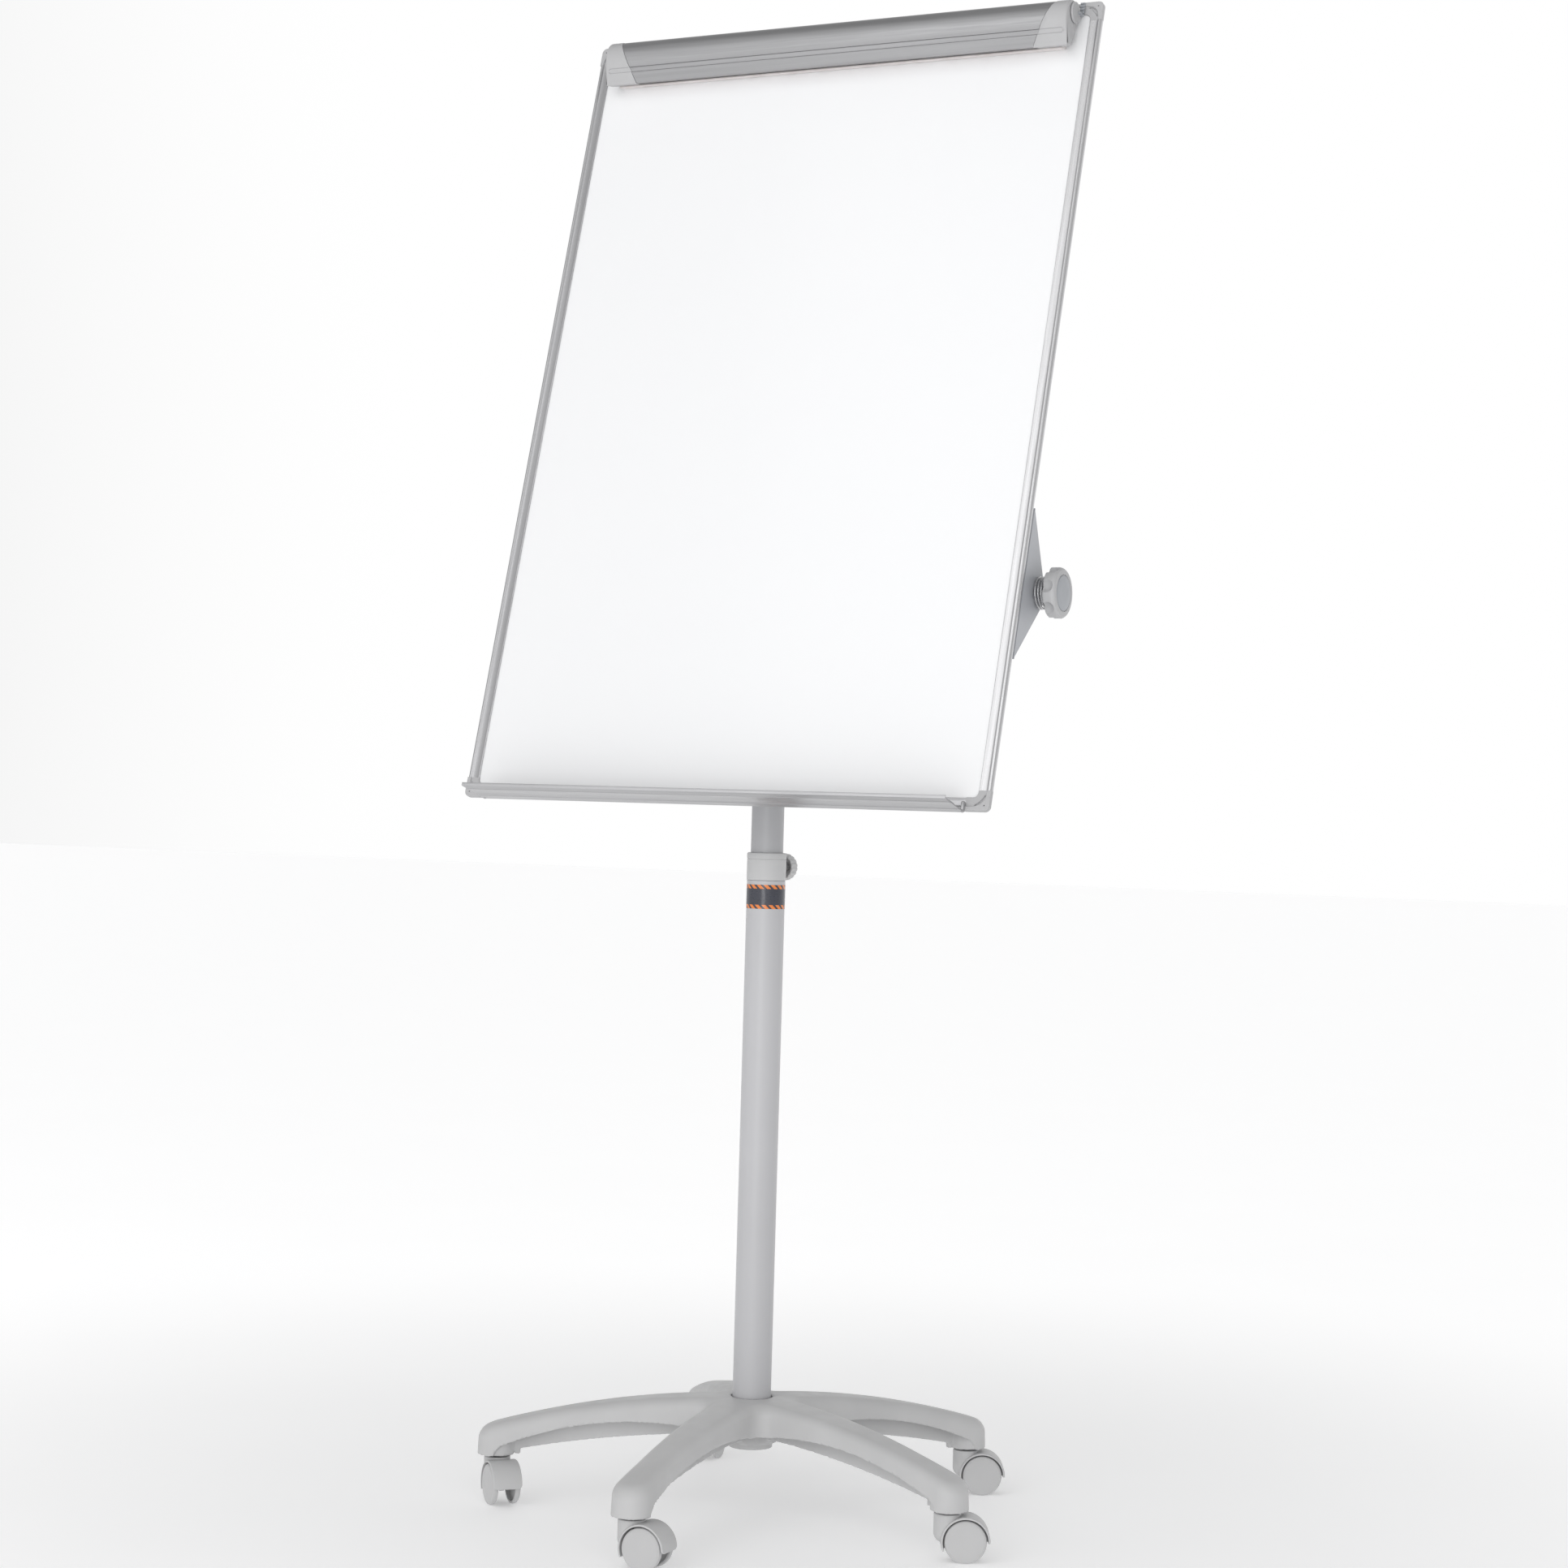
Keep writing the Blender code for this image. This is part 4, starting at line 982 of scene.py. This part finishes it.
def corner_stations(steps):
    """Pairs of inner and outer points from the end of the upright leg to the end of the other."""
    centre = LAND_WIDTH + FILLET
    stations = [((LAND_WIDTH, CORNER_LEG_V), (0.0, CORNER_LEG_V))]
    for i in range(steps + 1):
        angle = math.pi + math.pi / 2 * i / steps
        x, y = math.cos(angle), math.sin(angle)
        reach = corner_reach(angle)
        stations.append(((centre + FILLET * x, centre + FILLET * y),
                         (centre + reach * x, centre + reach * y)))
    for k in (0.35, 0.7, 1.0):
        along = centre + (CORNER_LEG_U - centre) * k
        stations.append(((along, LAND_WIDTH), (along, 0.0)))
    return stations


def corner_section(inner, outer, steps):
    """Closed C-shaped section between two points: front plate, outer wall, back plate."""
    (xi, yi), (xo, yo) = inner, outer
    length = math.hypot(xo - xi, yo - yi)
    wall, ease, inset = 0.0016 / length, 0.0007 / length, RAIL_INSET / length
    deep = 0.0013 if length > LAND_WIDTH + 0.001 else 0.0
    front = []
    for k in range(steps + 1):
        share = ease * 0.6 + (1 - ease * 1.6) * k / steps
        front.append((share, corner_height(xi + (xo - xi) * share, yi + (yo - yi) * share)))
    start, stop = front[0][1], front[-1][1]
    section = [(0.0, 0.0022), (0.0, start + 0.0006)] + front
    section += [(1 - ease * 0.3, stop + 0.0003), (1.0, stop + 0.0011), (1.0, 0.0055), (1 - ease * 0.5, 0.006),
                (1 - inset + ease * 0.5, 0.006), (1 - inset, 0.0064), (1 - inset, CORNER_BACK - 0.0008),
                (1 - inset - ease, CORNER_BACK), (0.1, CORNER_BACK), (0.08, CORNER_BACK - 0.0004),
                (0.08, 0.0145), (1 - inset - wall, 0.0145), (1 - inset - wall, 0.0022 + deep),
                (0.3, 0.0022 + deep), (0.26, 0.0022)]
    return [(xi + (xo - xi) * share, s, yi + (yo - yi) * share) for share, s in section]


def make_corners():
    detail = 56
    shell = loft([corner_section(inner, outer, detail) for inner, outer in corner_stations(detail)])
    pin_hole = changed(cylinder(0.00085, -0.003, 0.0008, 20), ALONG_Y, shift(0.0062, 0, 0.0062))
    mesh = cut(shell, pin_hole)
    for vertical, side_v in (("bottom", 1), ("top", -1)):
        for side, side_u in (("left", 1), ("right", -1)):
            copy = mesh.copy()
            copy.transform(Matrix.Diagonal((side_u, 1.0, side_v, 1.0)))
            if side_u * side_v < 0:
                copy.flip_normals()
            copy.transform(shift(-side_u * BOARD_WIDTH / 2, 0, 0 if side_v > 0 else BOARD_HEIGHT))
            name = vertical + "_" + side
            piece("corner_" + name, copy, "corner_plastic", "board", ["frame_corner_" + name], BOARD,
                  smooth=35.0)


PANEL_CORNER = 0.036                    # rounded corners of the sheet, under the corner pieces


def panel_layer(inset, radius, front, back):
    """One sheet of the board, from s = front to s = back, with rounded corners."""
    half, low, high = BOARD_WIDTH / 2 - inset, inset, BOARD_HEIGHT - inset
    outline = rounded([(-half, -low), (half, -low), (half, -high), (-half, -high)], radius, 10)
    return changed(prism(outline, front, back), turn("X", -90))


def make_panel():
    core_front = SHEET_FRONT + SHEET_THICK + GAP
    core_back = core_front + CORE_THICK
    inset = RAIL_INSET + 0.0019
    face = panel_layer(0.003, PANEL_CORNER, SHEET_FRONT, SHEET_FRONT + SHEET_THICK)
    piece("panel_face", face, "white_lacquer", "board", ["writing_sheet"], BOARD, bevel=0.00015)
    core = panel_layer(inset, 0.02, core_front, core_back)
    piece("panel_core", core, "board_core", "board", ["board_core"], BOARD, bevel=0.0002)
    back = panel_layer(inset, 0.02, core_back + GAP, core_back + GAP + 0.0005)
    piece("panel_back", back, "zinc_sheet", "board", ["back_sheet"], BOARD, bevel=0.0001)


def make_ears():
    """Steel ears: a plate with an eased outline round the tilt axis and a flange on the rail."""
    back = 0.0163
    nose = arc((PIVOT_V, PIVOT_S), 0.019, 52, 132, 14)
    outline = rounded([(0.187, back), (0.372, back)] + nose, [0.003, 0.003] + [0] * len(nose), 4)
    for name, side in SIDES:
        near, far = sorted((side * 0.3445, side * 0.3465))
        plate = loft([[(u, s, v) for v, s in outline] for u in (near, far)])
        low, high = sorted((side * 0.332, side * 0.3465))
        strip = rounded([(0.1872, back), (0.3718, back), (0.3718, back + 0.002), (0.1872, back + 0.002)],
                        0.0004, 2)
        flange = loft([[(u, s, v) for v, s in strip] for u in (low, high)])
        hole = changed(cylinder(0.0053, 0.3, 0.4, 32), turn("Y", 90 * side), shift(0, PIVOT_S, PIVOT_V))
        rivets = []
        for height in (0.215, 0.345):
            rivet = turned([(0, 0.0), (0.004, 0.0), (0.004, 0.0004), (0.0034, 0.0011), (0.002, 0.0015),
                            (0, 0.0016)], 24)
            rivets.append(changed(rivet, turn("X", -90), shift(side * 0.3375, back + 0.0019, height)))
        mesh = united(cut(united(plate, flange), hole), *rivets)
        piece("ear_" + name, mesh, "ear_steel", "board", ["tilt_ear_" + name], BOARD, smooth=30.0,
              bevel=0.0003)


TRAY_DEPTH, TRAY_HALF = 0.055, 0.32


def make_tray():
    """Extruded shelf: front lip, a shallow pen groove, stiffening beads below, a clip at each end."""
    top, under = -GAP, -GAP - 0.002
    lip = -TRAY_DEPTH
    outline = rounded([
        (-0.0003, top), (-0.0003, under), (-0.012, under), (-0.0125, under - 0.0005),
        (-0.0145, under - 0.0005), (-0.015, under), (-0.0395, under), (-0.04, under - 0.0005),
        (-0.042, under - 0.0005), (-0.0425, under), (lip, under), (lip, 0.0019), (lip + 0.0014, 0.0019),
        (lip + 0.0014, top - 0.0003), (-0.044, top - 0.0003), (-0.0435, top), (-0.0305, top),
        (-0.03, top - 0.0006), (-0.0165, top - 0.0006), (-0.016, top)], 0.0003, 2)
    shelf = along_u(outline, -TRAY_HALF, TRAY_HALF)
    clips = []
    for side in (-1, 1):
        profile = [(0, under - 0.0006), (0.0015, under - 0.0006), (0.0023, under), (0.0024, 0.009),
                   (0.002, 0.0098), (0.0012, 0.01), (0.001, 0.0092), (0, 0.0092)]
        clips.append(changed(turned(profile, 32), shift(side * 0.3187, -0.0027, 0)))
    piece("tray_shelf", united(shelf, *clips), "aluminium", "board", ["pen_tray"], BOARD, smooth=30.0)


# Pad clamp

CLAMP_OUTLINE = [
    (-0.0024, 1.003), (-0.0052, 1.0085), (-0.01, 1.012), (-0.0165, 1.0132), (-0.0235, 1.0112),
    (-0.0295, 1.0075), (-0.034, 1.002), (-0.0362, 0.9955), (-0.0365, 0.9875), (-0.0351, 0.979),
    (-0.0322, 0.972), (-0.0288, 0.9645), (-0.0225, 0.9525),
]
LIP_REAR = (-0.0105, 0.9575)
CLAMP_HALF = 0.32
CLAMP_WALL = 0.0018
CLAMP_HEIGHT = 0.0607
SEAM_LOW, SEAM_HIGH = 0.2755, 0.304       # where bar and cap meet, at the bottom and the top
CAP_PROUD, CAP_PROUD_AT_SEAM = 0.0005, 0.0002
SLOT_V, SLOT_HALF, SLOT_DEPTH, SLOT_SLOPE, SLOT_END = 0.9682, 0.0031, 0.0014, 0.0007, 0.3155


def smooth_path(points, per_span=4):
    """Catmull-Rom curve through the points."""
    result = []
    for i in range(len(points) - 1):
        p0, p1 = Vector(points[max(i - 1, 0)]), Vector(points[i])
        p2, p3 = Vector(points[i + 1]), Vector(points[min(i + 2, len(points) - 1)])
        for k in range(per_span):
            t = k / per_span
            result.append(0.5 * ((2 * p1) + (p2 - p0) * t + (2 * p0 - 5 * p1 + 4 * p2 - p3) * t * t
                                 + (3 * p1 - p0 - 3 * p2 + p3) * t ** 3))
    return result + [Vector(points[-1])]


def clamp_front():
    """The clamp's outer face as (s, v): the CAD outline made smooth."""
    return smooth_path(CLAMP_OUTLINE)


def slot_cut(v):
    """Depth of the shallow channel along the clamp's face."""
    edge = SLOT_HALF - abs(v - SLOT_V)
    return SLOT_DEPTH * min(1.0, max(0.0, edge / SLOT_SLOPE))


def cap_edge(v):
    """Where an end cap meets the bar, out from the board's middle: a slanting line."""
    share = min(1.0, max(0.0, (v - CLAMP_OUTLINE[-1][1]) / CLAMP_HEIGHT))
    return SEAM_LOW + (SEAM_HIGH - SEAM_LOW) * share


def clamp_skin():
    """Outer and inner outline of the bar with the channel in its face."""
    dense = []
    path = clamp_front()
    for start, stop in zip(path, path[1:]):
        steps = 10 if 0.96 < (start.y + stop.y) / 2 < 0.978 else 1
        dense += [start + (stop - start) * k / steps for k in range(steps)]
    dense.append(path[-1])
    outer, inner = [], []
    for i, point in enumerate(dense):
        before, after = dense[max(i - 1, 0)], dense[min(i + 1, len(dense) - 1)]
        along = (after - before).normalized()
        normal = Vector((-along.y, along.x))
        depth = slot_cut(point.y) if point.x < -0.02 else 0.0
        outer.append(point + normal * depth)
        inner.append(point + normal * CLAMP_WALL)
    tip, rear = Vector(CLAMP_OUTLINE[-1]), Vector(LIP_REAR)
    along = (rear - tip).normalized()
    lip = [tip + along * 0.0006, rear, rear + Vector((-0.0006, 0.0013)),
           tip + along * 0.003 + Vector((-0.0002, 0.0018))]
    return outer[:-1] + lip + list(reversed(inner[:-2]))


def make_clamp_bar():
    section = [tuple(p) for p in clamp_skin()]
    ends = []
    for side in (-1, 1):
        ends.append([(side * (cap_edge(v) - 0.0002), s, v) for s, v in section])
    # The bar takes the darker copy of the aluminium: painted shade.
    piece("clamp_profile", loft(ends), "aluminium_clamp_shaded", "clamp", ["clamp_bar"], BOARD, smooth=24.0)


CAP_ROUND = 0.0026                      # rounding of the cap's outer end


def cap_outline():
    """Closed (s, v) outline of a cap, fine where the channel's edges cross it."""
    dense = []
    path = clamp_front()
    for start, stop in zip(path, path[1:]):
        steps = 10 if 0.96 < (start.y + stop.y) / 2 < 0.983 else 2
        dense += [start + (stop - start) * k / steps for k in range(steps)]
    dense.append(path[-1])
    rear = (LIP_REAR, (-0.0075, 0.9645), (-0.0048, 0.978), (-0.0028, 0.99))
    return dense + [Vector(point) for point in rear]


def channel_depth(u, v):
    """Depth of the channel on a cap, which ends in a half circle."""
    inside = SLOT_HALF - math.hypot(max(u - SLOT_END + SLOT_HALF, 0.0), v - SLOT_V)
    return SLOT_DEPTH * min(1.0, max(0.0, inside / SLOT_SLOPE))


def clamp_cap():
    """Sweep from the slanting seam to the rounded outer end."""
    outline = cap_outline()
    count = len(outline)
    normals = []
    for i in range(count):
        along = (outline[(i + 1) % count] - outline[i - 1]).normalized()
        normals.append(Vector((-along.y, along.x)))
    shares = [0.0, 0.02, 0.25, 0.5, 0.7] + [0.72 + 0.016 * k for k in range(14)]
    straight = CLAMP_HALF - CAP_ROUND
    stations = [(share, 0.0) for share in shares]
    stations += [(1.0, CAP_ROUND * (1 - math.cos(math.radians(a)))) for a in (0, 18, 36, 54, 72, 90)]
    sections = []
    for number, (share, inset) in enumerate(stations):
        beyond = CAP_ROUND * math.sin(math.acos(1 - inset / CAP_ROUND)) if inset else 0.0
        section = []
        for point, normal in zip(outline, normals):
            seam = cap_edge(point.y) + 0.0003
            u = seam + (straight - seam) * share + beyond
            depth = channel_depth(u, point.y) if point.x < -0.02 else 0.0
            proud = CAP_PROUD_AT_SEAM if number == 0 else CAP_PROUD
            place = point + normal * (depth + inset - proud)
            section.append((u, place.x, place.y))
        sections.append(section)
    return loft(sections)


def make_clamp_caps():
    """Both caps, each with a pocket behind the seam where a pad hook's peg can slide in."""
    pocket = prism([(0.262, -0.0195), (0.2925, -0.0195), (0.2925, 0.01), (0.262, 0.01)], 0.9693, 0.9807)
    mesh = cut(clamp_cap(), pocket)
    for name, side in SIDES:
        copy = mesh.copy()
        if side < 0:
            copy.transform(Matrix.Diagonal((-1.0, 1.0, 1.0, 1.0)))
            copy.flip_normals()
        piece("clamp_end_" + name, copy, "corner_plastic", "clamp", ["clamp_cap_" + name], BOARD, smooth=32.0)


def make_clamp_grip():
    """Soft wedge behind the lip: only its lower edge shows."""
    end = CLAMP_HALF - 0.012
    rear, front = SHEET_FRONT - GAP, LIP_REAR[0] + GAP
    outline = rounded([(front, 0.9548), (rear, 0.9596), (rear, 0.9648), (front, 0.9572)], 0.0009, 4)
    piece("clamp_strip", along_u(outline, -end, end), "soft_grip", "clamp", ["clamp_grip"], BOARD)


def mirrored(mesh):
    mesh.transform(Matrix.Diagonal((-1.0, 1.0, 1.0, 1.0)))
    mesh.flip_normals()
    return mesh


def hinge_disc(near, far):
    """Round cover plate with a raised rim, and the pin behind it."""
    disc = turned([(0, near), (0.0125, near), (0.013, near + 0.0004), (0.013, far - 0.0008),
                   (0.0127, far - 0.0002), (0.0121, far), (0.0113, far), (0.0108, far - 0.0007),
                   (0.0103, far - 0.0008), (0.006, far - 0.0005), (0, far - 0.0003)], 72)
    pin = turned([(0, 0.3145), (0.0036, 0.3145), (0.004, 0.3149), (0.004, near + 0.001),
                  (0, near + 0.001)], 32)
    return changed(united(disc, pin), ALONG_X, shift(0, CLAMP_PIVOT_S, CLAMP_PIVOT_V))


def hinge_foot(near):
    """Ridged block on the top rail that carries the disc."""
    outline = [(-0.0115, 1.0015), (-0.0036, 1.0015)]
    for k in range(4):
        v = 1.002 + 0.0042 * k
        outline += [(-0.0036, v), (-0.0018, v + 0.0006), (-0.0018, v + 0.002), (-0.0036, v + 0.0026)]
    outline += [(-0.0036, 1.0185), (-0.0012, 1.0185), (-0.0012, 1.0005), (-0.0115, 0.9995)]
    return loft([[(u, s, v) for s, v in outline] for u in (near + 0.0002, 0.3268)])


def make_clamp_brackets():
    near, far = CLAMP_HALF + CAP_PROUD + GAP, CLAMP_HALF + 0.0034
    for name, side in SIDES:
        disc, foot = hinge_disc(near, far), hinge_foot(near)
        if side < 0:
            disc, foot = mirrored(disc), mirrored(foot)
        piece("clamp_hinge_" + name, disc, "corner_plastic", "board", ["clamp_bracket_" + name], BOARD,
              smooth=30.0)
        piece("clamp_hinge_foot_" + name, foot, "knob_inlay", "board", [], BOARD, smooth=25.0, bevel=0.00015)


def make_pad_hooks():
    """Sliders under the top rail, each with a collared peg for a pad's punched hole."""
    for name, side in SIDES:
        centre, low, high = side * 0.225, 0.967, 1.0057
        outline = rounded([(centre - 0.009, low), (centre + 0.009, low), (centre + 0.009, high),
                           (centre - 0.009, high)], 0.003, 4)
        plate = changed(prism([(u, -v) for u, v in outline], 0.0008, SHEET_FRONT - GAP), turn("X", -90))
        peg = turned([(0, -0.001), (0.0045, -0.001), (0.0045, 0.0022), (0.003, 0.0032), (0.003, 0.0135),
                      (0.0036, 0.0142), (0.0036, 0.0158), (0.0026, 0.0168), (0, 0.017)], 36)
        mesh = united(plate, changed(peg, turn("X", 90), shift(centre, 0.0, 0.975)))
        piece("hook_" + name, mesh, "dark_plastic", "pad_hook_" + name, ["pad_hook_" + name], BOARD,
              smooth=30.0)


# Stage

def area_light(name, place, target, size, power, colour=(1.0, 1.0, 1.0)):
    data = bpy.data.lights.new(name, "AREA")
    data.shape = "RECTANGLE"
    data.size, data.size_y = size
    data.energy = power
    data.color = colour
    obj = bpy.data.objects.new(name, data)
    obj.location = place
    obj.rotation_euler = (Vector(target) - Vector(place)).to_track_quat("-Z", "Y").to_euler()
    bpy.context.scene.collection.objects.link(obj)
    return obj


OVERHEAD, SIDEWAYS = 0.36, 0.5        # brightness of the surroundings against the horizon's


def make_world():
    """Soft white surroundings, darker overhead and to the sides, which model the round parts."""
    world = bpy.data.worlds.new("studio")
    bpy.context.scene.world = world
    world.use_nodes = True
    tree = world.node_tree
    direction = tree.nodes.new("ShaderNodeTexCoord").outputs["Generated"]
    split = tree.nodes.new("ShaderNodeSeparateXYZ")
    tree.links.new(direction, split.inputs[0])
    sideways = tree.nodes.new("ShaderNodeMath")
    sideways.operation = "ABSOLUTE"
    tree.links.new(split.outputs["X"], sideways.inputs[0])
    shades = []
    for socket, start, stop, least in ((split.outputs["Z"], 0.3, 0.9, OVERHEAD),
                                       (sideways.outputs[0], 0.55, 0.98, SIDEWAYS)):
        fade = tree.nodes.new("ShaderNodeMapRange")
        fade.interpolation_type = "SMOOTHSTEP"
        tree.links.new(socket, fade.inputs["Value"])
        for name, value in (("From Min", start), ("From Max", stop), ("To Min", 1.0), ("To Max", least)):
            fade.inputs[name].default_value = value
        shades.append(fade.outputs["Result"])
    both = tree.nodes.new("ShaderNodeMath")
    both.operation = "MULTIPLY"
    tree.links.new(shades[0], both.inputs[0])
    tree.links.new(shades[1], both.inputs[1])
    tree.links.new(both.outputs[0], tree.nodes["Background"].inputs["Strength"])
    tree.nodes["Background"].inputs["Color"].default_value = (1.0, 1.0, 1.0, 1.0)


def make_stage():
    """Pale lit floor, as a light table, so that it runs into the white surroundings; its glow is weaker near
    the object, a painted shadow round the base.
    """
    nodes = Nodes("floor")
    cloud = nodes.between(nodes.noise(3.0, 4.0), 0.0, 1.0)
    nodes.set("Base Color", nodes.mix(cloud, (0.87, 0.87, 0.875, 1.0), (0.88, 0.88, 0.885, 1.0)))
    nodes.set("Roughness", 0.75)
    nodes.set("Emission Color", (1.0, 1.0, 1.0, 1.0))
    away = nodes.add("VectorMath", {0: nodes.coords}, operation="LENGTH").outputs["Value"]
    # painted shadow: the glow near the column is about half as strong as two metres away
    spread = {"Value": away, "From Min": 0.25, "From Max": 2.2, "To Min": 0.24, "To Max": 0.47}
    glow = nodes.add("MapRange", spread, interpolation_type="SMOOTHSTEP").outputs["Result"]
    nodes.set("Emission Strength", glow)
    floor = prism([(-30.0, -30.0), (30.0, -30.0), (30.0, 30.0), (-30.0, 30.0)], -0.02, 0.0)
    floor.materials.append(nodes.material)
    obj = bpy.data.objects.new("floor", floor)
    obj.location.z = low_of("castor_wheel_1a").z
    bpy.context.scene.collection.objects.link(obj)
    area_light("key", (-0.6, -3.4, 3.1), (0.0, 0.0, 0.8), (2.8, 3.0), 24.0)
    area_light("fill", (2.9, -3.4, 2.4), (0.0, 0.0, 0.7), (2.2, 2.6), 18.0)
    area_light("low", (0.9, -3.9, 0.5), (0.0, 0.0, 0.9), (1.4, 1.0), 14.0)
    bpy.context.scene.view_settings.view_transform = "Standard"


def make_camera():
    """Eye level with the column, a little to the right of the board's front."""
    place = Vector((1.7698, -3.4069, 0.8646))
    yaw, pitch, roll = (math.radians(a) for a in (-27.23, 0.31, 1.61))
    forward = Vector((math.sin(yaw) * math.cos(pitch), math.cos(yaw) * math.cos(pitch), math.sin(pitch)))
    level = Vector((math.cos(yaw), -math.sin(yaw), 0.0))
    upright = level.cross(forward)
    right = level * math.cos(roll) + upright * math.sin(roll)
    up = upright * math.cos(roll) - level * math.sin(roll)
    data = bpy.data.cameras.new("camera")
    data.lens, data.sensor_width = 73.01, 36.0
    data.clip_end = 60.0
    obj = bpy.data.objects.new("camera", data)
    axes = Matrix((right, up, -forward)).transposed().to_4x4()
    obj.matrix_world = Matrix.Translation(place) @ axes
    bpy.context.scene.collection.objects.link(obj)
    bpy.context.scene.camera = obj


make_camera()
make_world()
make_stage()
make_base()
make_hub_plug()
make_castors()
make_column()
make_lift_spring()
make_height_knob()
make_tilt_head()
make_crossbar_bolt()
make_tilt_knob()
make_panel()
make_frame()
make_corners()
make_ears()
make_tray()
make_clamp_bar()
make_clamp_caps()
make_clamp_grip()
make_clamp_brackets()
make_pad_hooks()
